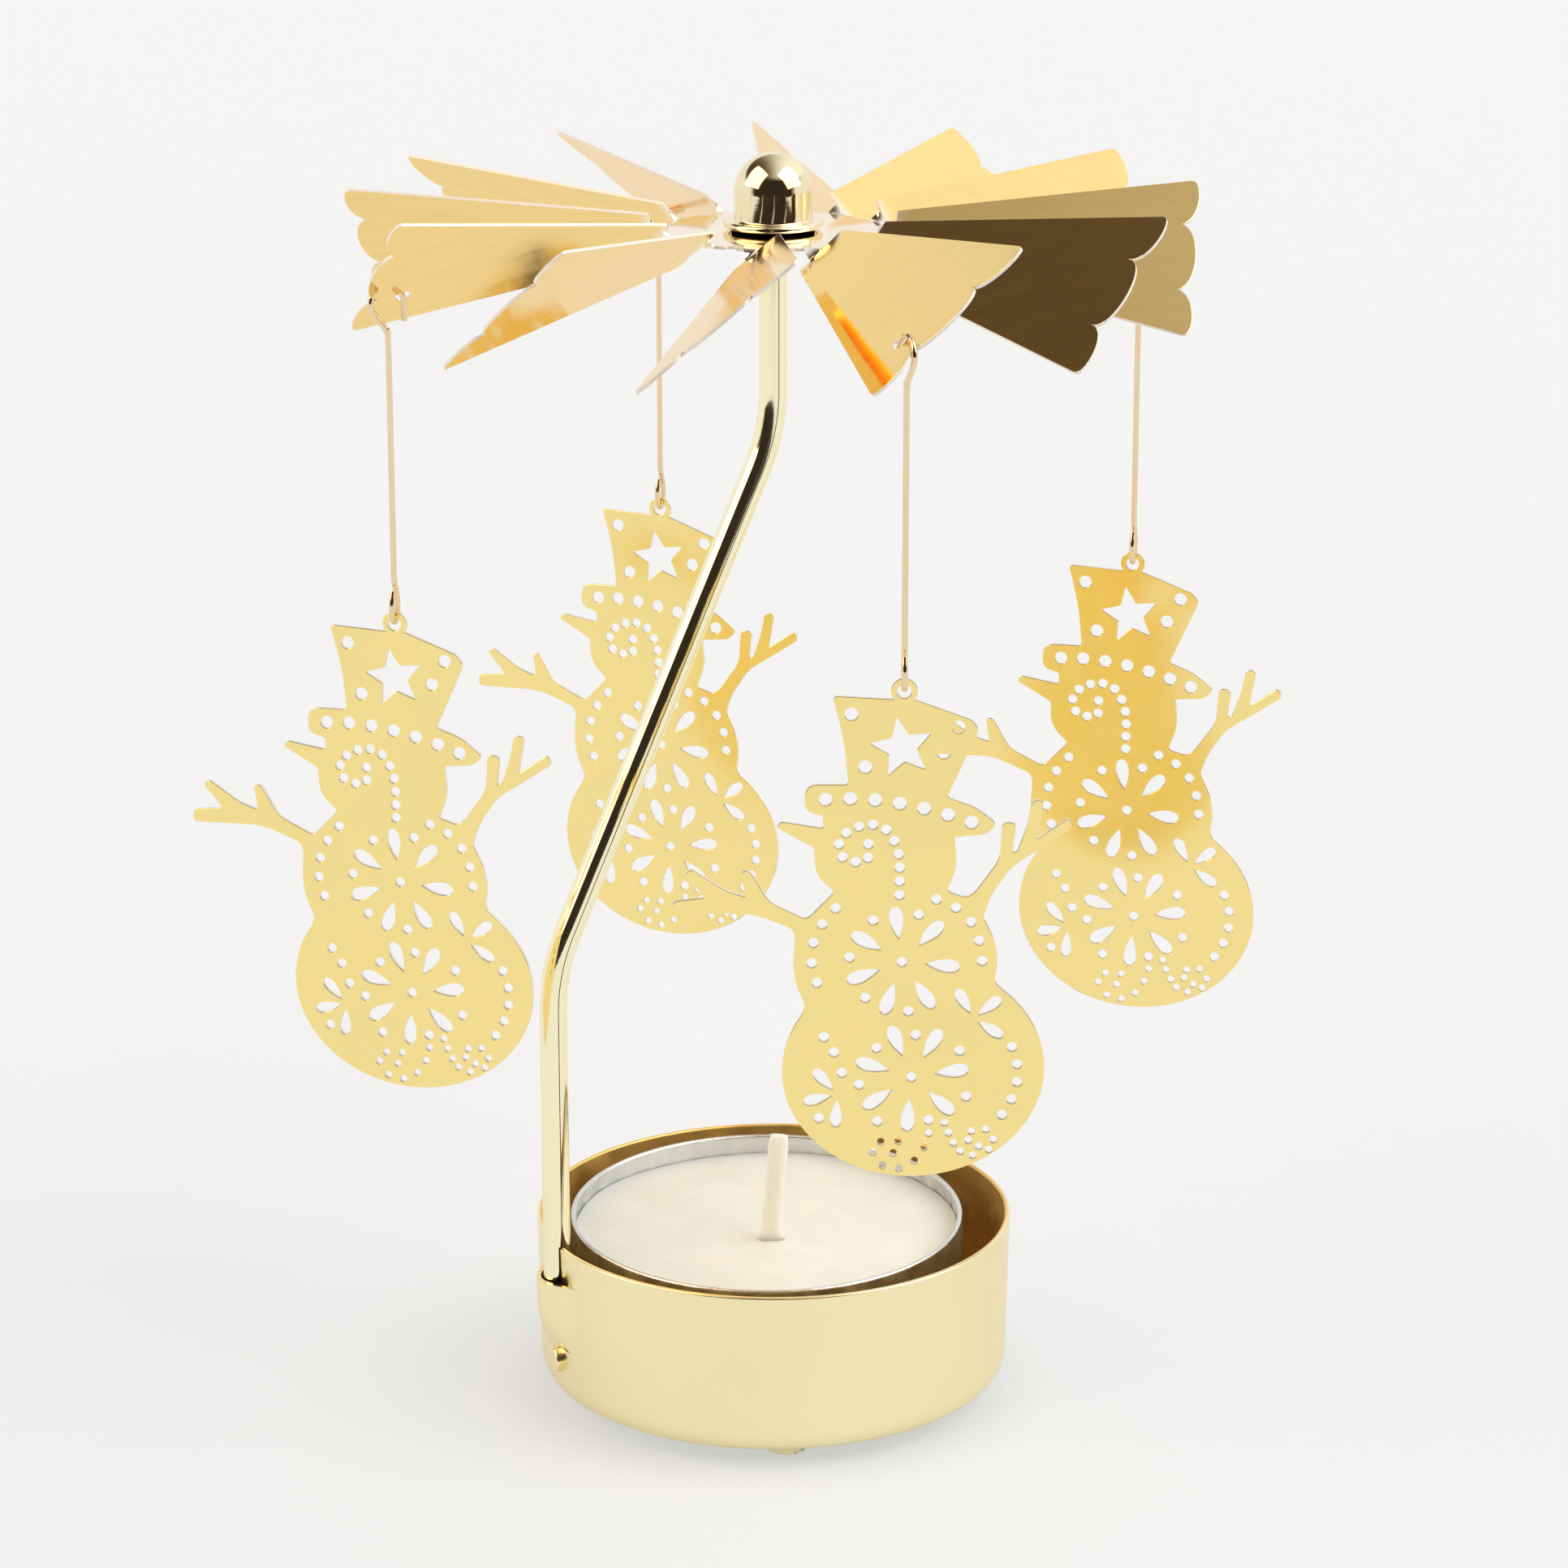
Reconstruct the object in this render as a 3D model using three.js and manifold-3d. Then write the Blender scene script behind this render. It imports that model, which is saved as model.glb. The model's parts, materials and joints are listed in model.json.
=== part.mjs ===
// Rotating candle holder. A pressed tray holds a tealight and carries a bent tube post with a needle on top.
// A stamped propeller turns on the needle in the warm air, and four pierced snowmen hang from its blades.
// Millimetres, +Z up. The origin is the middle of the tray's flat underside, and the front faces -Y.

import * as THREE from 'three';
import { mergeVertices } from 'three/addons/utils/BufferGeometryUtils.js';
import Module from 'manifold-3d';

const wasm = await Module();
wasm.setup();

const degree = Math.PI / 180;
const quarterTurn = 90 * degree;
const fullTurn = 360 * degree;

// Tealight
const tealightRadius = 19;
const tealightHeight = 15.2;
const tealightShift = 0.7; // it stands this far off the tray's middle, to the left
const cupWall = 0.3;
const cupCorner = 1.5;
const waxBelowRim = 1.8;
const waxGap = 0.1;
const wickHalfWidth = 0.95;
const wickHalfThickness = 0.5;
const wickRight = 0.5; // the wick stands this far right of the tealight's middle
const wickForward = 2.6; // and this far in front of it
const wickRise = 10.4;
const wickLean = 0.7;
const sustainerRadius = 6.4;
const sustainerSheet = 0.3;
const crimpRadius = 1.5;
const crimpHeight = 5;

// Tray
const traySheet = 0.5;
const trayClearance = 3.4; // between the tealight and the tray's wall
const trayLip = 0.3; // the tray's rim stands this far above the tealight's
const trayCorner = 2.2;
const trayTaper = 0.3;
const footCount = 3;
const footCircle = 17.7;
const footAzimuth = -86 * degree; // of the first foot
const footRadius = 2.4;
const footDrop = 1.4;
const footDraft = 0.6; // a foot is this much narrower at its tip
const pocketMouthBelowRim = 4;
const pocketDepth = 6.6;
const pocketGap = 0.25;
const pocketTipRadius = 0.2;
const pipRadius = 1.5;
const pipHeight = 4.4;
const pipStand = 0.7;

// Post
const postAzimuth = 204.5 * degree;
const postRadius = 1.3;
const postWall = 0.35;
const postBend = 4;
const lowerBendHeight = 43.4;
const headLength = 16.4; // of the straight head above the upper bend
const slotGap = 0.15; // on each side of the tray's wall and above its rim
const tongueLength = 4.8; // outside the wall, below the rim
const tongueTaper = 2.2;
const tongueTipHalf = 0.45;
const innerTongueLength = 1.7; // inside the wall, below the rim
const postBelowCollar = 0.8;

// Needle and hub
const plateHeight = 111.4;
const needleRadius = 0.8;
const needleBelowPostTop = 8;
const needleCone = 3;
const needleTipRadius = 0.15;
const needleGap = 0.25;
const capHeight = 7.05;
const capRadius = 3.6;
const capWall = 0.45;
const capSeat = 0.2; // the cap's foot stands this far out from its side
const brimRadius = 4.6;
const brimLift = 0.25; // the rolled brim stands this far above the plate
const brimBead = 0.35; // half the height of the rolled brim
const brimFillet = 0.4; // height of the hollow between the brim and the cap's side
const collarRadius = 4.5;
const collarHeight = 1.15;
const eyeletRadius = 2.5;
const eyeletWall = 0.4;
const eyeletRise = 1.2;
const eyeletGap = 0.15;

// Propeller
const rotorAzimuth = -67.1 * degree; // of the front hanging blade
const bladeCount = 12;
const hangerCount = 4;
const propellerSheet = 0.3;
const plateRadius = 10.1;
const reliefRadius = 0.55;
const neckHalf = 1.3;
const neckLength = 1.1;
const neckLap = 0.45; // of the neck's ends into the plate and the blade
const neckSheet = 0.26;
const bladeHalfAngle = 13.4 * degree;
const bladeTilt = 40.2 * degree;
const bladeDroop = 3.4 * degree;
const bladeReach = 38.5; // from the axis to the middle scallop's crest
const scallopDepth = 1.6;
const scallopSplit = 0.43; // share of the half width where the notches lie
const sideCrest = 0.6; // share of a side scallop's width where it reaches farthest

// Hook wires
const wireRadius = 0.275;
const crookRadius = 1.55;
const crookEnd = 1.7;
const crookAboveCentre = 0.55; // height of the blade above the crook's centre
const crookToNotch = 0.8; // from the crook's centre line to the notch
const hookHoleRadius = 0.75;
const wireDrop = 29.3; // from the crook's centre to the bottom of the lower loop
const loopRadius = 0.75;
const loopHeight = 3.4;

// Snowmen, measured from the middle of the ring that they hang by
const snowmanHeight = 44.7; // from the ring down to the lowest point
const snowmanSheet = 0.4;
const snowmanTurns = { front: 0, right: -14 * degree, back: -20 * degree, left: -14 * degree };
const ringRadius = 1.16;
const ringHole = 0.62;
const ringGap = 0.15;
const hatDotRadius = 0.58;
const bodyDotRadius = 0.42;
const starRadius = 2.78;
const starWaist = 1.25;
const petalLength = 2.95;
const petalHalfWidth = 0.6;
const sprigLength = 2.5;
const sprigHalfWidth = 0.5;
const flowerPetals = 7;
const flowerRadius = 3.58; // from a flower's middle to the middle of its petals
const flowerDotRadius = 4.55;
const dotSides = 4;
const petalSides = 5;

// Values that follow from the driving dimensions
const tealightBase = traySheet;
const tealightRim = tealightBase + tealightHeight;
const waxTop = tealightRim - waxBelowRim;
const trayRim = tealightRim + trayLip;
const trayInner = tealightRadius + trayClearance;
const trayRadius = trayInner + traySheet;
const trayFootRadius = trayRadius - trayTaper;
const postCircle = trayRadius - traySheet / 2;
const pocketMouth = trayRim - pocketMouthBelowRim;
const plateTop = plateHeight + propellerSheet / 2;
const plateUnder = plateHeight - propellerSheet / 2;
const collarUnder = plateUnder - collarHeight;
const postTop = collarUnder - postBelowCollar;
const upperBendHeight = postTop - headLength;
const capTop = plateTop + capHeight;
const needleTip = capTop - capWall - needleGap;
const bladeRoot = plateRadius + neckLength;
const notchReach = bladeReach - scallopDepth;
const notchSide = -scallopSplit * notchReach * Math.tan(bladeHalfAngle);
const crookReach = notchReach - crookToNotch;
const holeReach = crookReach - Math.sqrt(crookRadius ** 2 - crookAboveCentre ** 2);
const crookCentre = bladePoint(crookReach, notchSide, bladeTilt, -crookAboveCentre);
const ringDrop = wireDrop + ringHole - wireRadius - ringGap;
const drawingScale = snowmanHeight / 44.15; // the snowman's typed points are drawn this high

// Finishes
const paleGold = { color: 0xeedfae, roughness: 0.2, metalness: 1 };
const finishes = {
  gold: new THREE.MeshStandardMaterial(paleGold),
  bladeGold: new THREE.MeshStandardMaterial({ ...paleGold, color: 0xedd48c }),
  snowmanGold: new THREE.MeshStandardMaterial({ ...paleGold, color: 0xf5de90, roughness: 0.35 }),
  polishedGold: new THREE.MeshStandardMaterial({ ...paleGold, color: 0xe8d9a8, roughness: 0.08 }),
  steel: new THREE.MeshStandardMaterial({ color: 0xc8c8c8, roughness: 0.3, metalness: 1 }),
  aluminium: new THREE.MeshStandardMaterial({ color: 0xd4d4d2, roughness: 0.35, metalness: 1 }),
  wax: new THREE.MeshStandardMaterial({ color: 0xede8da, roughness: 0.5, metalness: 0 }),
  cotton: new THREE.MeshStandardMaterial({ color: 0xf0e2c4, roughness: 0.9, metalness: 0 }),
};

// Geometry helpers

// A geometry with shared corners merged and triangles of no area left out.
function merged(geometry) {
  const bare = geometry.clone();
  bare.deleteAttribute('normal');
  bare.deleteAttribute('uv');
  const joined = mergeVertices(bare);
  const corners = joined.index.array;
  const kept = [];
  for (let i = 0; i < corners.length; i += 3) {
    const [a, b, c] = [corners[i], corners[i + 1], corners[i + 2]];
    if (a !== b && b !== c && c !== a) {
      kept.push(a, b, c);
    }
  }
  joined.setIndex(kept);
  return joined;
}

function solid(geometry) {
  const closed = merged(geometry);
  const vertProperties = new Float32Array(closed.attributes.position.array);
  const triVerts = new Uint32Array(closed.index.array);
  return new wasm.Manifold(new wasm.Mesh({ numProp: 3, vertProperties, triVerts }));
}

function geometryOf(body) {
  const mesh = body.getMesh();
  const geometry = new THREE.BufferGeometry();
  geometry.setAttribute('position', new THREE.BufferAttribute(mesh.vertProperties, 3));
  geometry.setIndex(new THREE.BufferAttribute(mesh.triVerts, 1));
  return geometry;
}

// A profile of [radius, height] pairs turned about Z. It runs outwards, up and back in.
function revolved(profile, segments) {
  const points = profile.map(([radius, height]) => new THREE.Vector2(radius, height));
  return merged(new THREE.LatheGeometry(points, segments).rotateX(quarterTurn));
}

// A tapered round bar along Z, from one height to another.
function taperedBar(lowRadius, highRadius, low, high, segments) {
  const bar = new THREE.CylinderGeometry(highRadius, lowRadius, high - low, segments).rotateX(quarterTurn);
  return bar.translate(0, 0, (low + high) / 2);
}

// A flat sheet cut to a shape, with its middle in the XY plane.
function sheetOf(shape, thickness) {
  const settings = { depth: thickness, bevelEnabled: false, curveSegments: 3 };
  return new THREE.ExtrudeGeometry(shape, settings).translate(0, 0, -thickness / 2);
}

// Points of an arc as [x, y] pairs, both ends included.
function arc(x, y, radius, from, to, steps) {
  return Array.from({ length: steps + 1 }, (_, i) => {
    const angle = from + ((to - from) * i) / steps;
    return [x + radius * Math.cos(angle), y + radius * Math.sin(angle)];
  });
}

// A closed body through rings of as many points each, with the end rings zipped shut.
// Each ring runs anticlockwise when the next ring lies towards the viewer.
function loft(rings) {
  const size = rings[0].length;
  const index = [];
  for (let ring = 0; ring < rings.length - 1; ring++) {
    for (let i = 0; i < size; i++) {
      const [a, b] = [ring * size + i, ring * size + ((i + 1) % size)];
      index.push(a, b, b + size, a, b + size, a + size);
    }
  }
  const last = (rings.length - 1) * size;
  for (let i = 0; i < size / 2 - 1; i++) {
    const [a, b, c, d] = [i, i + 1, size - 2 - i, size - 1 - i];
    index.push(a, c, b, a, d, c);
    index.push(last + a, last + b, last + c, last + a, last + c, last + d);
  }
  const geometry = new THREE.BufferGeometry().setFromPoints(rings.flat());
  geometry.setIndex(index);
  return geometry;
}

// A round rod along a list of points, with its section carried along without twisting.
function rod(points, radius, sides) {
  const side = new THREE.Vector3(0.31, 0.92, 0.24);
  const rings = points.map((point, i) => {
    const before = points[Math.max(i - 1, 0)];
    const after = points[Math.min(i + 1, points.length - 1)];
    const along = after.clone().sub(before).normalize();
    side.addScaledVector(along, -side.dot(along)).normalize();
    const across = along.clone().cross(side);
    return arc(0, 0, radius, 0, fullTurn, sides)
      .slice(0, sides)
      .map(([u, v]) => point.clone().addScaledVector(side, u).addScaledVector(across, v));
  });
  return loft(rings);
}

// A path in the XZ plane through [x, z] corners, with the inner corners rounded.
function bentPath(corners, bend, steps) {
  const points = corners.map(([x, z]) => new THREE.Vector3(x, 0, z));
  const path = [points[0]];
  for (let i = 1; i < points.length - 1; i++) {
    const back = points[i - 1].clone().sub(points[i]).normalize();
    const on = points[i + 1].clone().sub(points[i]).normalize();
    const reach = bend / Math.tan(back.angleTo(on) / 2);
    const start = points[i].clone().addScaledVector(back, reach);
    const end = points[i].clone().addScaledVector(on, reach);
    path.push(...new THREE.QuadraticBezierCurve3(start, points[i], end).getPoints(steps));
  }
  return [...path, points[points.length - 1]];
}

function piece(name, geometry, material) {
  const mesh = new THREE.Mesh(geometry, material);
  mesh.name = name;
  return mesh;
}

// Tray

function trayShell() {
  const centre = trayFootRadius - trayCorner;
  return solid(revolved([
    [0, 0],
    ...arc(centre, trayCorner, trayCorner, -quarterTurn, 0, 3),
    [trayRadius, trayRim],
    [trayInner, trayRim],
    ...arc(centre, trayCorner, trayCorner - traySheet, 0, -quarterTurn, 3),
    [0, traySheet],
  ], 36));
}

// A dimple pressed down through the floor.
function withFoot(tray, azimuth) {
  const [x, y] = [footCircle * Math.cos(azimuth), footCircle * Math.sin(azimuth)];
  const tip = footRadius - footDraft;
  const outside = taperedBar(tip, footRadius, -footDrop, traySheet / 2, 10).translate(x, y, 0);
  const inside = taperedBar(tip - traySheet, footRadius - traySheet, traySheet - footDrop, traySheet * 1.2, 10)
    .translate(x, y, 0);
  return tray.add(solid(outside)).subtract(solid(inside));
}

// A half cone pressed out of the wall below a cut, open upwards for the post's tongue.
function withPocket(tray) {
  const [x, y] = [postCircle * Math.cos(postAzimuth), postCircle * Math.sin(postAzimuth)];
  const mouth = postRadius + pocketGap;
  const tip = pocketMouth - pocketDepth;
  const outside = taperedBar(pocketTipRadius + traySheet, mouth + traySheet, tip - traySheet, pocketMouth, 16);
  const inside = taperedBar(pocketTipRadius, mouth, tip, pocketMouth + slotGap, 16);
  const well = taperedBar(trayInner, trayInner, -footDrop, trayRim, 36);
  const bulge = solid(outside.translate(x, y, 0)).subtract(solid(well));
  return tray.add(bulge).subtract(solid(inside.translate(x, y, 0)));
}

// A round pip pressed out of the wall under the pocket.
function withPip(tray) {
  const bar = (radius, near, far) => taperedBar(radius, radius, near, far, 12)
    .rotateY(quarterTurn).translate(0, 0, pipHeight).rotateZ(postAzimuth);
  const face = trayRadius - trayTaper + pipStand;
  const outside = bar(pipRadius, postCircle - traySheet / 4, face);
  const inside = bar(pipRadius - traySheet, trayInner - traySheet * 3, face - traySheet);
  return tray.add(solid(outside)).subtract(solid(inside));
}

function trayGeometry() {
  let tray = withPip(withPocket(trayShell()));
  for (let foot = 0; foot < footCount; foot++) {
    tray = withFoot(tray, footAzimuth + (fullTurn * foot) / footCount);
  }
  return geometryOf(tray);
}

// Post and needle, drawn in the XZ plane with the foot towards +X

function postGeometry() {
  const tongueTip = trayRim - tongueLength;
  const bends = [[postCircle, lowerBendHeight], [0, upperBendHeight]];
  const outer = bentPath([[postCircle, tongueTip], ...bends, [0, postTop]], postBend, 4);
  const bore = bentPath([[postCircle, tongueTip - postWall], ...bends, [0, postTop + postWall]], postBend, 4);
  const slotTop = trayRim + slotGap;
  const slotInside = trayInner - slotGap;
  const slotOutside = trayRadius + slotGap;
  const slot = revolved([[slotInside, 0], [slotOutside, 0], [slotOutside, slotTop], [slotInside, slotTop],
    [slotInside, 0]], 64);
  const innerEnd = trayRim - innerTongueLength;
  const innerCut = revolved([[0, 0], [postCircle, 0], [postCircle, innerEnd], [0, innerEnd]], 64);
  const tube = solid(rod(outer, postRadius, 12)).subtract(solid(rod(bore, postRadius - postWall, 10)));
  const slotted = tube.subtract(solid(slot)).subtract(solid(innerCut));
  const tapered = [-1, 1].reduce((body, side) => body.subtract(solid(tongueCut(side, tongueTip))), slotted);
  return geometryOf(tapered);
}

// The wedge that tapers one side of the tongue to its tip.
function tongueCut(side, tip) {
  const wide = side * (postRadius + slotGap);
  const shape = new THREE.Shape();
  shape.moveTo(side * tongueTipHalf, tip - slotGap);
  shape.lineTo(wide, tip - slotGap);
  shape.lineTo(wide, tip + tongueTaper);
  return sheetOf(shape, postRadius * 4).rotateX(quarterTurn).rotateZ(quarterTurn).translate(postCircle, 0, 0);
}

function needleGeometry() {
  const foot = postTop - needleBelowPostTop;
  return revolved([[0, foot], [needleRadius, foot], [needleRadius, needleTip - needleCone],
    [needleTipRadius, needleTip], [0, needleTip]], 12);
}

// Hub

function capGeometry() {
  const spring = capTop - capRadius;
  const inner = capRadius - capWall;
  const beadUnder = plateTop + brimLift;
  const beadTop = beadUnder + brimBead * 2;
  return revolved([
    [inner, plateTop],
    [capRadius + capSeat, plateTop],
    [brimRadius - brimBead, beadUnder],
    [brimRadius, beadUnder + brimBead],
    [brimRadius - brimBead, beadTop],
    [capRadius, beadTop + brimFillet],
    ...arc(0, spring, capRadius, 0, quarterTurn, 5),
    ...arc(0, spring, inner, quarterTurn, 0, 3),
    [inner, plateTop],
  ], 20);
}

function collarGeometry() {
  const bore = eyeletRadius - eyeletWall;
  return revolved([
    [bore, collarUnder],
    [collarRadius - collarHeight / 3, collarUnder],
    [collarRadius, collarUnder + collarHeight / 3],
    [collarRadius, plateUnder],
    [eyeletRadius, plateUnder],
    [eyeletRadius, plateTop + eyeletRise],
    [bore, plateTop + eyeletRise],
    [bore, collarUnder],
  ], 20);
}

// Propeller, drawn about the axis with the first blade along +X

// A point of a blade: along it, across it at a tilt, and off its sheet.
function bladePoint(along, across, tilt, off) {
  const sag = Math.max(along - plateRadius, 0) * Math.tan(bladeDroop);
  const y = across * Math.cos(tilt);
  const z = plateHeight + across * Math.sin(tilt) - sag;
  return new THREE.Vector3(along, y, z + off);
}

// The scalloped end: half an ellipse in the middle, and at each side an ellipse that the blade's edge cuts off.
function bladeEnd(share) {
  const width = Math.abs(share);
  const onSide = width > scallopSplit;
  const half = onSide ? (1 - scallopSplit) * sideCrest : scallopSplit;
  const middle = onSide ? scallopSplit + half : 0;
  return notchReach + scallopDepth * Math.sqrt(Math.max(1 - ((width - middle) / half) ** 2, 0));
}

// The narrow neck that twists between the flat plate and the blade, with its ends sunk into both.
function neckGeometry() {
  const section = (along, tilt) => [[-1, -1], [1, -1], [1, 1], [-1, 1]].map(([across, off]) =>
    bladePoint(along, across * neckHalf, tilt, (off * neckSheet) / 2 / Math.cos(tilt)));
  return loft([
    section(plateRadius - neckLap, 0),
    section(plateRadius, 0),
    section(bladeRoot, bladeTilt),
    section(bladeRoot + neckLap, bladeTilt),
  ]);
}

// One flat blade, cut from its straight root to its scalloped end and then tilted.
function bladeGeometry() {
  const middle = [0.5, 1].map((share) => scallopSplit * share);
  const side = [sideCrest / 4, sideCrest, 1].map((share) => scallopSplit + (1 - scallopSplit) * share);
  const shares = [...middle, ...side];
  const across = (along, share) => new THREE.Vector2(along, share * along * Math.tan(bladeHalfAngle));
  const end = [...shares.map((share) => -share).reverse(), 0, ...shares]
    .map((share) => across(bladeEnd(share), share));
  const shape = new THREE.Shape([across(bladeRoot, -1), ...end, across(bladeRoot, 1)]);
  const blade = sheetOf(shape, propellerSheet / Math.cos(bladeTilt));
  const corners = blade.attributes.position;
  for (let i = 0; i < corners.count; i++) {
    corners.setXYZ(i, ...bladePoint(corners.getX(i), corners.getY(i), bladeTilt, corners.getZ(i)));
  }
  return blade;
}

function propellerGeometry() {
  const bore = eyeletRadius + eyeletGap;
  const blade = solid(bladeGeometry()).add(solid(neckGeometry()));
  const hole = taperedBar(hookHoleRadius, hookHoleRadius, -scallopDepth, scallopDepth, 8).rotateX(bladeTilt)
    .translate(...bladePoint(holeReach, notchSide, bladeTilt, 0));
  const relief = taperedBar(reliefRadius, reliefRadius, plateUnder - 1, plateTop + 1, 6)
    .translate(plateRadius, 0, 0);
  let sheet = solid(revolved([[bore, plateUnder], [plateRadius, plateUnder], [plateRadius, plateTop],
    [bore, plateTop], [bore, plateUnder]], 36));
  for (let i = 0; i < bladeCount; i++) {
    const turn = (fullTurn * i) / bladeCount;
    sheet = sheet.add(blade.rotate([0, 0, turn / degree]));
    sheet = sheet.subtract(solid(relief.clone().rotateZ(turn + fullTurn / bladeCount / 2)));
  }
  for (let i = 0; i < hangerCount; i++) {
    sheet = sheet.subtract(solid(hole.clone().rotateZ((fullTurn * i) / hangerCount)));
  }
  return geometryOf(sheet);
}

// Hook wires, drawn about the crook's centre with the blade's length along +X

// The crook lies along the blade, and the loop at the foot lies square to the snowman.
function wireGeometry(loopAzimuth) {
  const crook = arc(0, 0, crookRadius, 180 * degree, -40 * degree, 8)
    .map(([x, z]) => new THREE.Vector3(x, 0, z));
  const start = new THREE.Vector3(-crookRadius, 0, -crookEnd);
  const neck = new THREE.Vector3(0, 0, -crookRadius * 1.8);
  const [cos, sin] = [Math.cos(loopAzimuth), Math.sin(loopAzimuth)];
  const loopPoint = ([u, z]) => new THREE.Vector3(u * cos, u * sin, z - wireDrop);
  const loop = [
    [0, loopHeight],
    [loopRadius, loopHeight * 0.65],
    ...arc(0, loopRadius, loopRadius, 0, -180 * degree, 5),
    [-loopRadius, loopHeight * 0.6],
    [-loopRadius * 0.7, loopHeight * 0.8],
  ].map(loopPoint);
  return rod([start, ...crook, neck, ...loop], wireRadius, 6);
}

// Snowmen, drawn upright in the XY plane and then stood up to face -Y

// A typed point of the drawing, brought to the snowman's size.
function drawn(x, y) {
  return [x * drawingScale, y * drawingScale];
}

function dot(x, y, radius) {
  return arc(x, y, radius, quarterTurn, quarterTurn + fullTurn, dotSides).slice(0, dotSides);
}

// A row of dots evenly spaced along a curve.
function dotsAlong(curve, count, radius) {
  return curve.getSpacedPoints(count - 1).map(({ x, y }) => dot(x, y, radius));
}

function bow(...ends) {
  return new THREE.QuadraticBezierCurve(...ends.map((end) => new THREE.Vector2(...drawn(...end))));
}

function star(x, y, turn) {
  return Array.from({ length: 10 }, (_, i) => {
    const radius = i % 2 ? starWaist : starRadius;
    const angle = turn + (fullTurn * i) / 10;
    return [x + radius * Math.cos(angle), y + radius * Math.sin(angle)];
  });
}

// A teardrop whose pointed end faces a middle: x = cos t, y = sin t sin(t / 2), stretched and turned.
function petal(x, y, turn, reach, length, halfWidth) {
  return Array.from({ length: petalSides }, (_, i) => {
    const t = (fullTurn * i) / petalSides;
    const along = reach - (Math.cos(t) * length) / 2;
    const across = -Math.sin(t) * Math.sin(t / 2) * halfWidth * 1.3;
    return [
      x + along * Math.cos(turn) - across * Math.sin(turn),
      y + along * Math.sin(turn) + across * Math.cos(turn),
    ];
  });
}

// A flower of petals round a dot, with dots outside some of the gaps between them.
function flower(x, y, turn, gapDots) {
  const step = fullTurn / flowerPetals;
  const petals = Array.from({ length: flowerPetals }, (_, i) =>
    petal(x, y, turn + step * i, flowerRadius, petalLength, petalHalfWidth));
  const dots = Array.from({ length: gapDots }, (_, i) => {
    const angle = turn + step * (i - 0.5);
    return dot(x + flowerDotRadius * Math.cos(angle), y + flowerDotRadius * Math.sin(angle), bodyDotRadius);
  });
  return [...petals, ...dots, dot(x, y, bodyDotRadius)];
}

// A sprig of three petals fanned round a point.
function sprig(x, y, turns) {
  return turns.map((turn) => petal(x, y, turn * degree, sprigLength * 0.72, sprigLength, sprigHalfWidth));
}

function snowmanHoles() {
  const cane = new THREE.SplineCurve([[-0.3, -18.2], [-0.4, -14.5], [-1.5, -12.3], [-3.4, -11.9], [-5.4, -13.1],
    [-5.1, -14.9], [-3.2, -15.1], [-3, -13.6]].map((point) => new THREE.Vector2(...drawn(...point))));
  const hatDots = [[-4.5, -2], [4.65, -3.15], [3.4, -5.4], [-3.3, -6.7]];
  const bellyDots = [[1.2, -31], [5.05, -32.45], [5.65, -36.7], [2.4, -38.9], [-2.1, -39], [-3.7, -35.6],
    [-2.2, -32.2]];
  const looseDots = [[-6.8, -31.2], [-5.9, -32.6], [-5.2, -34.5], [-7.2, -38.7]];
  return [
    arc(0, 0, ringHole, 0, fullTurn, 8).slice(0, 8),
    star(...drawn(-0.15, -5), 100 * degree),
    ...hatDots.map((point) => dot(...drawn(...point), hatDotRadius)),
    ...dotsAlong(bow([-6.7, -9.6], [-1.2, -9.1], [5.9, -11.7]), 7, hatDotRadius),
    ...dotsAlong(cane, 14, bodyDotRadius),
    ...dotsAlong(bow([-5.8, -19.4], [-8.9, -22.6], [-7.4, -26.2]), 5, bodyDotRadius),
    ...dotsAlong(bow([2.9, -18.6], [6.7, -19.6], [6.9, -24.2]), 5, bodyDotRadius),
    ...dotsAlong(bow([9.5, -32.2], [10.9, -35.2], [8.9, -38.4]), 5, bodyDotRadius),
    ...[...bellyDots, ...looseDots].map((point) => dot(...drawn(...point), bodyDotRadius)),
    ...flower(...drawn(-0.05, -24.3), 97.5 * degree, 5),
    ...flower(...drawn(0.85, -34.9), 111.5 * degree, 0),
    ...sprig(...drawn(6.2, -29.5), [118, 39, -33]),
    ...sprig(...drawn(-5.6, -36.5), [132, 194, 267]),
  ];
}

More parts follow.
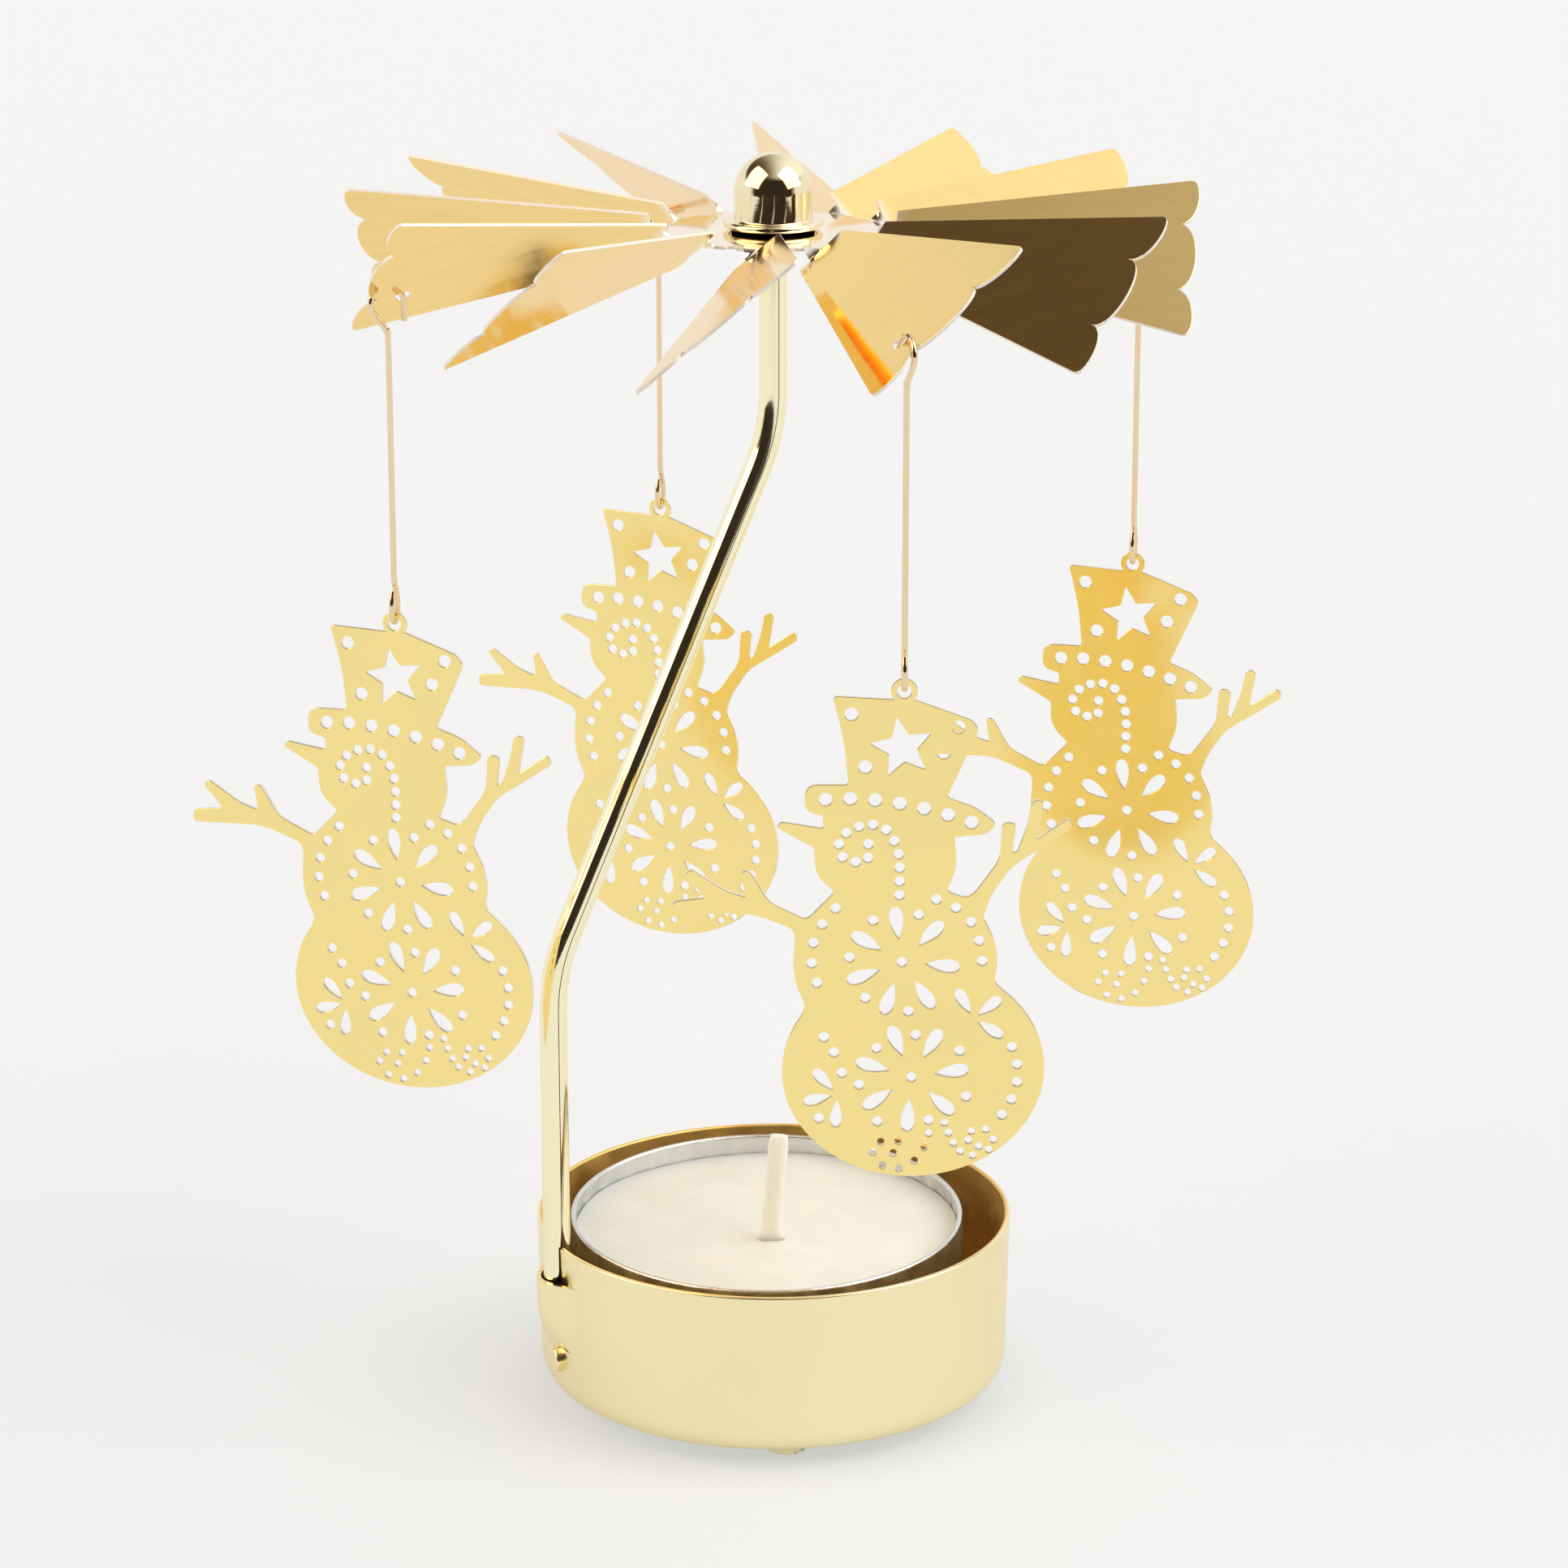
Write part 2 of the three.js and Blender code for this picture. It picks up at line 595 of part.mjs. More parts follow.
// The outline from the hanging ring down the left side and up the right.
function snowmanOutline() {
  const outline = new THREE.Shape();
  const through = (...points) => points.forEach((point) => outline.lineTo(...drawn(...point)));
  const bend = (over, to) => outline.quadraticCurveTo(...drawn(...over), ...drawn(...to));
  const ball = (from, to) => outline.absellipse(...drawn(1, -34.25), ...drawn(11.45, 9.9), from * degree,
    to * degree, false, 2.7 * degree);
  outline.absarc(0, 0, ringRadius, -38 * degree, 218 * degree);
  // Hat, brim and nose
  through([-5.8, -0.5], [-6.2, -0.85]);
  bend([-5.1, -4.4], [-4.75, -8.3]);
  bend([-8.45, -8.3], [-8.45, -9.5]);
  bend([-8.45, -10.6], [-6.9, -11.1]);
  through([-6.9, -12.2], [-10.5, -11.65], [-10.9, -12.1], [-7.65, -14]);
  // Head and left arm
  bend([-7.6, -16.4], [-5.9, -17.95]);
  through([-8.3, -20.4], [-11.6, -18.85], [-13.2, -16.3], [-13.6, -16.1], [-13.95, -16.5], [-13.6, -18.35],
    [-15.2, -17.9], [-18.1, -15.95], [-18.65, -16.5], [-17, -18.5], [-19.4, -18.85], [-19.9, -19.4],
    [-19.4, -19.95], [-13.2, -19.85], [-9.7, -21.2], [-9.3, -21.9]);
  // Middle and lower balls
  bend([-9.75, -25], [-8.4, -28.3]);
  ball(141, 270);
  ball(270, 411);
  bend([8.75, -23], [6.95, -20.2]);
  // Right arm and head
  through([7.6, -18.3], [9.3, -15.7], [11.7, -14.1], [14.35, -12.1], [14.2, -11.6], [13.8, -11.6],
    [11.45, -13.2], [11.95, -10.3], [11.5, -9.7], [11, -10.2], [9.8, -14.3], [9.4, -14.4], [9.65, -12.2],
    [9.05, -11.7], [8.5, -12.2], [8.3, -15], [6.2, -18], [5.6, -18.4], [3.8, -17.9]);
  bend([4.7, -15.6], [4.4, -13]);
  // Brim and hat
  bend([7.5, -12.95], [7.85, -11.9]);
  bend([6.2, -10.3], [3.75, -9.4]);
  through([6.35, -3.5], [5.8, -2.6]);
  outline.closePath();
  return outline;
}

function snowmanGeometry() {
  const shape = snowmanOutline();
  shape.holes = snowmanHoles().map((hole) =>
    new THREE.Path().setFromPoints(hole.map(([x, y]) => new THREE.Vector2(x, y))));
  return merged(sheetOf(shape, snowmanSheet).rotateX(quarterTurn));
}

// Tealight, drawn about its own axis

function cupGeometry() {
  const inner = tealightRadius - cupWall;
  return revolved([
    [0, tealightBase],
    ...arc(tealightRadius - cupCorner, tealightBase + cupCorner, cupCorner, -quarterTurn, 0, 2),
    [tealightRadius, tealightRim],
    [inner, tealightRim],
    ...arc(tealightRadius - cupCorner, tealightBase + cupCorner, cupCorner - cupWall, 0, -quarterTurn, 2),
    [0, tealightBase + cupWall],
  ], 32);
}

function waxGeometry() {
  const base = tealightBase + cupWall;
  const outer = tealightRadius - cupWall - waxGap;
  const block = solid(revolved([
    [0, base + waxGap],
    [outer - cupCorner, base + waxGap],
    [outer, base + cupCorner],
    [outer, waxTop],
    [0, waxTop],
  ], 24));
  const bores = [
    [sustainerRadius, base + sustainerSheet],
    [crimpRadius, base + crimpHeight],
    [wickHalfWidth, waxTop],
  ];
  const bored = bores.reduce((wax, [radius, top]) => {
    const bore = taperedBar(radius + waxGap, radius + waxGap, base, top + waxGap, 16);
    return wax.subtract(solid(bore.translate(wickRight, -wickForward, 0)));
  }, block);
  return geometryOf(bored);
}

// Wick and its foot, drawn about their own axis

function sustainerGeometry() {
  const base = tealightBase + cupWall;
  const bore = wickHalfWidth + waxGap;
  return revolved([
    [bore, base],
    [sustainerRadius, base],
    [sustainerRadius, base + sustainerSheet],
    [crimpRadius, base + sustainerSheet],
    [crimpRadius, base + crimpHeight],
    [bore, base + crimpHeight],
    [bore, base],
  ], 16);
}

// A flat braid that leans to the right above the wax.
function wickGeometry() {
  const foot = tealightBase + cupWall + sustainerSheet;
  const path = [[0, foot], [0, waxTop], [wickLean * 0.4, waxTop + wickRise / 2], [wickLean, waxTop + wickRise]];
  return rod(path.map(([x, z]) => new THREE.Vector3(x, 0, z)), wickHalfWidth, 8)
    .scale(1, wickHalfThickness / wickHalfWidth, 1);
}

// Assembly

function standGroup() {
  const stand = new THREE.Group();
  const post = piece('post', postGeometry(), finishes.gold);
  post.rotation.z = postAzimuth;
  stand.add(piece('tray', trayGeometry(), finishes.gold), post);
  stand.add(piece('pivot_needle', needleGeometry(), finishes.steel));
  return stand;
}

function candleGroup() {
  const candle = new THREE.Group();
  candle.position.x = -tealightShift;
  candle.add(piece('tealight_cup', cupGeometry(), finishes.aluminium));
  candle.add(piece('wax', waxGeometry(), finishes.wax));
  const wick = new THREE.Group();
  wick.position.set(wickRight, -wickForward, 0);
  wick.add(piece('wick_sustainer', sustainerGeometry(), finishes.steel));
  wick.add(piece('wick', wickGeometry(), finishes.cotton));
  candle.add(wick);
  return candle;
}

function rotorGroup() {
  const rotor = new THREE.Group();
  rotor.rotation.z = rotorAzimuth;
  rotor.add(piece('propeller', propellerGeometry(), finishes.bladeGold));
  rotor.add(piece('hub_cap', capGeometry(), finishes.polishedGold));
  rotor.add(piece('hub_collar', collarGeometry(), finishes.gold));
  return rotor;
}

// A wire on every third blade, each with a snowman that faces the front or is turned a little to the left.
function hangerGroup() {
  const hangers = new THREE.Group();
  const figure = snowmanGeometry();
  Object.entries(snowmanTurns).forEach(([side, turn], i) => {
    const azimuth = rotorAzimuth + (fullTurn * i) / hangerCount;
    const hanger = new THREE.Group();
    hanger.position.copy(crookCentre).applyAxisAngle(new THREE.Vector3(0, 0, 1), azimuth);
    const wire = piece(`hook_wire_${side}`, wireGeometry(quarterTurn + turn - azimuth), finishes.gold);
    wire.rotation.z = azimuth;
    const snowman = piece(`snowman_${side}`, figure, finishes.snowmanGold);
    snowman.position.z = -ringDrop;
    snowman.rotation.z = turn;
    hanger.add(wire, snowman);
    hangers.add(hanger);
  });
  return hangers;
}

const candleHolder = new THREE.Group();
candleHolder.add(standGroup(), candleGroup(), rotorGroup(), hangerGroup());

export default candleHolder;
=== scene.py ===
"""Looks of a rotating candle holder: pressed tray, rolled post, propeller and four hanging snowmen."""

import json

import bmesh
import bpy
import numpy as np
from bpy.props import FloatProperty, FloatVectorProperty, IntProperty, PointerProperty
from bpy.types import Operator, Panel, PropertyGroup
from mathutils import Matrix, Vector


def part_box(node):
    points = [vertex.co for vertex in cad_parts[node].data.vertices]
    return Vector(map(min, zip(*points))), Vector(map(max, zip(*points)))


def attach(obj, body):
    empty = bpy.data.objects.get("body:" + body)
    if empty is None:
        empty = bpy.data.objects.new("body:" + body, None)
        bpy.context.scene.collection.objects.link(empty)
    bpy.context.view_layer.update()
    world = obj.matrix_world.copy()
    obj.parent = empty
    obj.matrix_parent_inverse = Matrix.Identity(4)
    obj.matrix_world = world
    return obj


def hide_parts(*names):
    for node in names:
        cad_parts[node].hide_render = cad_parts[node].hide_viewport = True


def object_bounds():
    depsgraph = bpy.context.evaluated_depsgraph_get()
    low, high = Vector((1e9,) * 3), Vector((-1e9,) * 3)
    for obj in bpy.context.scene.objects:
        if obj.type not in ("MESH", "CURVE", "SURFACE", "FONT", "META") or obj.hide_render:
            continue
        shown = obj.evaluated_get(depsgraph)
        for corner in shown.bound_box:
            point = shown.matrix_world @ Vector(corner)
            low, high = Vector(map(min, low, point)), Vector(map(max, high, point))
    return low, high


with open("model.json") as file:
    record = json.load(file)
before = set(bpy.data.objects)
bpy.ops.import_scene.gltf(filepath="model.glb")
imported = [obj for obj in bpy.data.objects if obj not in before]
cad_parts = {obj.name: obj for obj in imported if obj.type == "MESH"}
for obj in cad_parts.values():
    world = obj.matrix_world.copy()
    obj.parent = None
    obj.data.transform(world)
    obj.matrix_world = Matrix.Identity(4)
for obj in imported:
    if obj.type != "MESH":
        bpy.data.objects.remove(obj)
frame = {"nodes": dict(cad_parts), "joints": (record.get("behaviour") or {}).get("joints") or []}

bl_info = {
    "name": "Rotating candle holder",
    "version": (1, 0, 0),
    "blender": (4, 5, 0),
    "location": "3D View > Sidebar > Candle holder",
    "description": "Shapes, finishes and studio of a tealight holder with a propeller and four snowmen",
    "category": "Add Mesh",
}

MM = 0.001
FULL_TURN = 2 * np.pi
WELD = 0.0005 * MM
ROUND_CREASE = 40
FLAT_CREASE = 15
SIDES = ("front", "right", "back", "left")
CAD_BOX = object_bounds()
HINGES = {joint["name"]: joint for joint in frame["joints"] if joint["type"] == "hinge"}
PLACES = {name: np.array(joint["pos_m"]) for name, joint in HINGES.items()}
AXES = {name: np.array(joint["axis"]) for name, joint in HINGES.items()}
UP = np.array([0, 0, 1.0])


# Settings

def length(name, description, millimetres):
    """A length property, typed in millimetres and kept in metres."""
    return FloatProperty(
        name=name, description=description, default=millimetres * MM, unit="LENGTH", precision=5)


def angle(name, description, degrees):
    """An angle property, typed in degrees and kept in radians."""
    radians = float(np.radians(degrees))
    return FloatProperty(name=name, description=description, default=radians, subtype="ANGLE")


def whole(name, description, default, low, high):
    """A whole-number property between low and high."""
    return IntProperty(name=name, description=description, default=default, min=low, max=high)


def share(name, description, default):
    """A property between 0 and 1."""
    return FloatProperty(
        name=name, description=description, default=default, min=0, max=1, subtype="FACTOR")


def colour(name, description, *rgb):
    """A linear colour property."""
    return FloatVectorProperty(
        name=name, description=description, default=(*rgb, 1.0), size=4, min=0, max=1, subtype="COLOR")


class StandSizes(PropertyGroup):
    """Sizes of the tray and of the post that stands on its rim."""

    sheet: length("Tray sheet", "Thickness of the pressed tray", 0.5)
    corner: length("Tray corner", "Outer radius between the tray's floor and wall", 2.2)
    taper: length("Tray taper", "How far the wall leans in at its foot", 0.3)
    feet: whole("Feet", "Dimples pressed into the tray's floor", 3, 0, 8)
    foot_azimuth: angle("Foot azimuth", "Direction of the first foot", -86)
    foot_circle: length("Foot circle", "Distance of the feet from the axis", 17.7)
    foot_radius: length("Foot radius", "Radius of a foot where it leaves the floor", 2.4)
    foot_draft: length("Foot draft", "Width of a foot's sloping side", 0.6)
    pip_radius: length("Pip radius", "Radius of the round stud below the pocket", 1.25)
    pip_height: length("Pip height", "Height of the stud's middle", 4.1)
    pip_stand: length("Pip stand", "How far the stud stands out of the wall", 0.6)
    pocket_mouth: length("Pocket mouth", "Height of the post pocket's open end", 12.6)
    pocket_depth: length("Pocket depth", "Height of the post pocket", 7.0)
    pocket_half: length("Pocket half", "Half width of the post pocket", 4.4)
    pocket_stand: length("Pocket stand", "How far the pocket stands out of the wall", 1.8)
    azimuth: angle("Post azimuth", "Direction in which the post's foot stands", 204.5)
    circle: length("Post circle", "Distance of the post's foot from the axis", 22.65)
    radius: length("Post radius", "Radius of the rolled post", 1.3)
    wall: length("Post wall", "Thickness of the rolled strip", 0.35)
    seam: length("Post seam", "Width of the open seam along the post", 0.08)
    lower_bend: length("Lower bend", "Height of the bend above the tray", 43.4)
    upper_bend: length("Upper bend", "Height of the bend below the propeller", 92.9)
    bend: length("Bend reach", "Length of post that bends on each side of a corner", 4.0)
    slot_gap: length("Slot gap", "Room between the post's slot and the tray's wall", 0.06)
    outer_tongue: length("Outer tongue", "Length of the post's half outside the rim", 4.8)
    inner_tongue: length("Inner tongue", "Length of the post's half inside the rim", 1.7)
    tongue_taper: length("Tongue taper", "Length over which the outer half narrows", 2.2)


class TealightSizes(PropertyGroup):
    """Sizes of the tealight."""

    cup_wall: length("Cup wall", "Thickness of the cup's foil", 0.3)
    cup_corner: length("Cup corner", "Radius between the cup's floor and wall", 1.5)
    cup_bead: length("Cup bead", "Radius of the rolled rim", 0.24)
    crinkle: length("Crinkle", "Depth of the wrinkles in the foil", 0.1)
    wax_drop: length("Wax drop", "How far the wax has sunk in the cup", 0.35)
    meniscus: length("Meniscus", "How far the wax climbs at the cup's wall", 0.35)
    mound: length("Mound", "How far the wax climbs at the wick", 0.3)
    lean: angle("Lean", "How far the rim and the wax lean to the front", 1.8)
    wick_half: length("Wick half width", "Half width of the flat wick", 0.95)
    wick_thickness: length("Wick thickness", "Thickness of the flat wick", 1.0)
    wick_lean: length("Wick lean", "How far the wick's top leans to the right", 0.7)


class RotorSizes(PropertyGroup):
    """Sizes of the propeller and its hub."""

    azimuth: angle("Azimuth", "Direction of the blade that carries the front snowman", -67.1)
    blades: whole("Blades", "Blades of the propeller", 12, 4, 24)
    sheet: length("Sheet", "Thickness of the propeller", 0.3)
    edge: length("Edge", "Rounding of the propeller's cut edges", 0.03)
    plate_radius: length("Plate radius", "Radius of the flat middle", 10.1)
    relief_radius: length("Relief radius", "Radius of the cuts between the blades' necks", 0.55)
    neck_half: length("Neck half", "Half width of a blade's twisted neck", 1.3)
    neck_length: length("Neck length", "Length of a blade's twisted neck", 1.1)
    half_angle: angle("Half angle", "Half the angle that a blade spans", 13.4)
    tilt: angle("Tilt", "How far a blade is twisted", 40.2)
    droop: angle("Droop", "How far a blade bends down", 3.4)
    reach: length("Reach", "Distance of a blade's end from the axis", 38.5)
    scallop_depth: length("Scallop depth", "Depth of the scallops at a blade's end", 1.6)
    scallop_split: share("Scallop split", "Share of half a blade's width taken by the middle scallop", 0.43)
    scallop_side: share("Scallop side", "Share of the rest at which a side scallop reaches farthest", 0.6)
    corner: length("Blade corner", "Rounding of a blade's two outer corners", 0.7)
    hole_radius: length("Hole radius", "Radius of the hole for a hook", 0.75)
    cap_radius: length("Cap radius", "Radius of the domed cap", 3.6)
    cap_wall: length("Cap wall", "Thickness of the domed cap", 0.45)
    cap_seat: length("Cap seat", "How far the cap's foot stands out from its side", 0.2)
    brim_lift: length("Brim lift", "Height of the rolled brim above the plate", 0.25)
    brim_bead: length("Brim bead", "Radius of the rolled brim", 0.35)
    brim_fillet: length("Brim fillet", "Radius of the hollow between the brim and the cap's side", 0.4)
    eyelet_radius: length("Eyelet radius", "Radius of the collar's eyelet", 2.5)
    eyelet_wall: length("Eyelet wall", "Thickness of the collar's eyelet", 0.4)


class HangerSizes(PropertyGroup):
    """Sizes of the hook wires and the snowmen."""

    wire_radius: length("Wire radius", "Radius of the hook wires", 0.275)
    crook_radius: length("Crook radius", "Radius of the hook over the blade", 1.55)
    crook_end: length("Crook end", "Length of the hook's straight end", 1.7)
    wire_drop: length("Wire drop", "Distance from the hook's middle to the foot of the loop", 29.3)
    loop_radius: length("Loop radius", "Half width of the loop at the wire's foot", 0.75)
    loop_height: length("Loop height", "Height of the loop at the wire's foot", 3.4)
    sheet: length("Snowman sheet", "Thickness of a snowman", 0.4)
    edge: length("Snowman edge", "Rounding of a snowman's cut edges", 0.05)
    ring_radius: length("Ring radius", "Radius of the ring on a snowman's hat", 1.16)
    ring_hole: length("Ring hole", "Radius of that ring's hole", 0.62)
    hat_dot: length("Hat dot", "Radius of the holes in the hat", 0.58)
    body_dot: length("Body dot", "Radius of the holes in rows", 0.44)
    snow_dot: length("Snow dot", "Radius of the small holes near the bottom", 0.33)
    snowman_height: length("Snowman height", "Distance from a snowman's ring to its lowest point", 44.7)
    star_radius: length("Star radius", "Reach of the star's points", 2.78)
    star_waist: length("Star waist", "Distance of the star's inner corners from its middle", 1.25)
    petal_length: length("Petal length", "Length of a flower's petals", 2.95)
    petal_half: length("Petal half width", "Half width of a flower's petals", 0.6)
    flower_radius: length("Flower radius", "Distance of the petals from a flower's middle", 3.58)
    flower_dots: length("Flower dots", "Distance of the dots from a flower's middle", 4.55)
    sprig_length: length("Sprig length", "Length of a sprig's leaves", 2.5)
    sprig_half: length("Sprig half width", "Half width of a sprig's leaves", 0.5)


class Colours(PropertyGroup):
    """Colours of the finishes and the stage."""

    tray: colour("Tray gold", "Pale satin gold of the tray", 0.97, 0.86, 0.52)
    post: colour("Post gold", "Paler gold of the post", 1.0, 0.93, 0.64)
    # The deeper gold inside the tray is a painted amber reflection; the inside is the same pressed sheet as
    # the outside.
    lining_reflection: colour("Tray lining", "Deeper gold inside the tray", 1.0, 0.7, 0.24)
    blade: colour("Blade gold", "Mirror gold of the propeller", 0.97, 0.72, 0.29)
    # The plate's paler gold is a painted reflection of the pale wall seen at a low angle.
    plate: colour("Plate gold", "Paler middle of the propeller", 0.97, 0.93, 0.82)
    glance: colour("Glance", "Tint of the tray, post, blades and figures at a low angle", 1.0, 0.93, 0.86)
    figure: colour("Figure gold", "Bright gold of the snowmen", 1.0, 0.81, 0.33)
    wire: colour("Wire gold", "Warm gold of the hook wires", 0.92, 0.74, 0.48)
    cap: colour("Cap gold", "Polished pale gold of the hub", 0.95, 0.83, 0.55)
    cut: colour("Cut edge", "Bare metal where the sheet was cut", 0.95, 0.92, 0.86)
    foil: colour("Foil", "Aluminium of the cup", 0.8, 0.82, 0.83)
    steel: colour("Steel", "Bare steel of the needle and the wick's foot", 0.62, 0.61, 0.59)
    wax: colour("Wax", "Paraffin wax", 0.82, 0.86, 0.81)
    cotton: colour("Cotton", "Waxed cotton of the wick", 0.94, 0.89, 0.72)
    floor: colour("Floor", "Pale paper under the holder", 0.87, 0.9, 0.92)


class HolderSettings(PropertyGroup):
    """All that can be changed on the candle holder."""

    stand: PointerProperty(type=StandSizes)
    tealight: PointerProperty(type=TealightSizes)
    rotor: PointerProperty(type=RotorSizes)
    hangers: PointerProperty(type=HangerSizes)
    colours: PointerProperty(type=Colours)


# Lines

def arc(x, y, radius, start, end, count):
    """Points (x + r cos a, y + r sin a), with the angle a evenly stepped from start to end, in degrees."""
    turn = np.radians(np.linspace(start, end, count))
    return np.column_stack([x + radius * np.cos(turn), y + radius * np.sin(turn)])


def circle(x, y, radius, count):
    """Points of a whole circle, each once."""
    return arc(x, y, radius, 0, 360, count + 1)[:-1]


def rounded(corners, steps=6):
    """An open line of (x, y, reach) corners with its inner corners rounded.

    The curve leaves the line at A, reach before the corner C, and meets it again at B, reach behind it:
    (1 - t)^2 A + 2 t (1 - t) C + t^2 B.
    """
    corners = np.asarray(corners, float)
    points = corners[:, :2]
    middle = points[1:-1, None]
    back = points[:-2, None] - middle
    ahead = points[2:, None] - middle
    back_length = np.linalg.norm(back, axis=2, keepdims=True)
    ahead_length = np.linalg.norm(ahead, axis=2, keepdims=True)
    reach = np.minimum(corners[1:-1, None, 2:], np.minimum(back_length, ahead_length) / 2)
    t = np.linspace(0, 1, steps)[None, :, None]
    start = middle + reach * back / back_length
    end = middle + reach * ahead / ahead_length
    curve = (1 - t) ** 2 * start + 2 * t * (1 - t) * middle + t**2 * end
    return np.vstack([points[:1], curve.reshape(-1, 2), points[-1:]])


def smooth_path(points, steps):
    """A smooth line through the points: from b to c, with a before and d after them,
    b + t (c - a) / 2 + t^2 (a - 5 b / 2 + 2 c - d / 2) + t^3 (3 (b - c) + d - a) / 2.
    """
    points = np.asarray(points, float)
    longer = np.vstack([2 * points[0] - points[1], points, 2 * points[-1] - points[-2]])
    a, b, c, d = (longer[i:len(longer) - 3 + i, None] for i in range(4))
    t = np.linspace(0, 1, steps, endpoint=False)[None, :, None]
    curve = b + t * (c - a) / 2 + t**2 * (a - 2.5 * b + 2 * c - d / 2) + t**3 * (3 * (b - c) + d - a) / 2
    return np.vstack([curve.reshape(-1, points.shape[1]), points[-1:]])


def distinct(line):
    """The line without points that repeat the one before."""
    line = np.asarray(line, float)
    return line[np.insert(np.linalg.norm(np.diff(line, axis=0), axis=1) > 1e-7, 0, True)]


def divided(line, longest):
    """The line with more points, so that no step is longer than longest."""
    line = distinct(line)
    along = np.insert(np.cumsum(np.linalg.norm(np.diff(line, axis=0), axis=1)), 0, 0)
    stops = np.union1d(along, np.arange(0, along[-1], longest))
    return np.column_stack([np.interp(stops, along, values) for values in line.T])


def evenly(line, count):
    """Points at even distances along the line, both ends among them."""
    along = np.insert(np.cumsum(np.linalg.norm(np.diff(line, axis=0), axis=1)), 0, 0)
    stops = np.linspace(0, along[-1], count)
    return np.column_stack([np.interp(stops, along, values) for values in line.T])


def ease(low, high, values):
    """A smooth step from 0 at low to 1 at high."""
    t = np.clip((values - low) / (high - low), 0, 1)
    return t * t * (3 - 2 * t)


# Surfaces

def turned(profile, segments):
    """Rows (r cos a, r sin a, z): the profile of (r, z) points at each angle a of a whole turn."""
    turn = np.linspace(0, FULL_TURN, segments, endpoint=False)
    radius, height = np.asarray(profile).T
    x, y = np.outer(np.cos(turn), radius), np.outer(np.sin(turn), radius)
    return np.stack([x, y, np.broadcast_to(height, x.shape)], axis=-1)


def carried(path, section, across):
    """Rows of a section carried along a path: each row is p + u N + v B for the section's (u, v) points,
    with the path's direction T, N = across x T and B = T x N.
    """
    along = np.gradient(path, axis=0)
    along /= np.linalg.norm(along, axis=1, keepdims=True)
    normal = np.cross(across, along)
    normal /= np.linalg.norm(normal, axis=1, keepdims=True)
    side = np.cross(along, normal)
    return path[:, None] + section[..., :1] * normal[:, None] + section[..., 1:] * side[:, None]


def folded_ends(rows):
    """Rows of a bent strip, outer line first and inner line back, with both ends folded shut."""
    return np.concatenate([(rows[:1] + rows[:1, ::-1]) / 2, rows, (rows[-1:] + rows[-1:, ::-1]) / 2])


def pointed_ends(rows):
    """Rows of a rod, with both ends drawn to their middle."""
    first, last = (np.broadcast_to(rows[i].mean(axis=0), rows[:1].shape) for i in (0, -1))
    return np.concatenate([first, rows, last])


def grid(rows, wrap_rows=False, wrap_columns=False):
    """Points, quads and finish numbers of a surface from its rows of points."""
    count = rows.shape[0] * rows.shape[1]
    number = np.arange(count).reshape(rows.shape[:2])
    if wrap_rows:
        number = np.vstack([number, number[:1]])
    if wrap_columns:
        number = np.hstack([number, number[:, :1]])
    corners = number[:-1, :-1], number[1:, :-1], number[1:, 1:], number[:-1, 1:]
    quads = np.stack(corners, axis=-1).reshape(-1, 4)
    return rows.reshape(-1, 3), quads, np.zeros(len(quads), int)


def pierced_sheet(outline, holes, thickness, edge):
    """Points, triangles and finish numbers of a flat sheet about the XY plane.

    The outline and the holes are filled as one flat curve, drawn in millimetres, with rounded edges. The cut
    edges have finish 1.
    """
    curve = bpy.data.curves.new("sheet", "CURVE")
    curve.dimensions = "2D"
    curve.fill_mode = "BOTH"
    curve.extrude = (thickness / 2 - edge) / MM
    curve.bevel_depth = edge / MM
    curve.bevel_resolution = 1
    curve.offset = -edge / MM
    for line in [outline, *holes]:
        line = distinct(line) / MM
        spline = curve.splines.new("POLY")
        spline.points.add(len(line) - 1)
        flat = np.column_stack([line, np.zeros(len(line)), np.ones(len(line))])
        spline.points.foreach_set("co", flat.ravel())
        spline.use_cyclic_u = True
    drawing = bpy.data.objects.new("sheet", curve)
    mesh = bpy.data.meshes.new_from_object(drawing)
    mesh.calc_loop_triangles()
    points = np.empty(len(mesh.vertices) * 3)
    mesh.vertices.foreach_get("co", points)
    triangles = np.empty(len(mesh.loop_triangles) * 3, int)
    mesh.loop_triangles.foreach_get("vertices", triangles)
    normals = np.empty(len(mesh.loop_triangles) * 3)
    mesh.loop_triangles.foreach_get("normal", normals)
    bpy.data.meshes.remove(mesh)
    bpy.data.objects.remove(drawing)
    bpy.data.curves.remove(curve)
    steepest_face = 0.9
    is_edge = np.abs(normals.reshape(-1, 3)[:, 2]) < steepest_face
    return points.reshape(-1, 3) * MM, triangles.reshape(-1, 3), is_edge.astype(int)


def moved(part, place):
    """The part with its points sent through the function place."""
    return (place(part[0]), *part[1:])


def about_axis(points, turn):
    """The points turned about the vertical axis."""
    x, y, z = np.moveaxis(points, -1, 0)
    return np.stack([x * np.cos(turn) - y * np.sin(turn), x * np.sin(turn) + y * np.cos(turn), z], axis=-1)


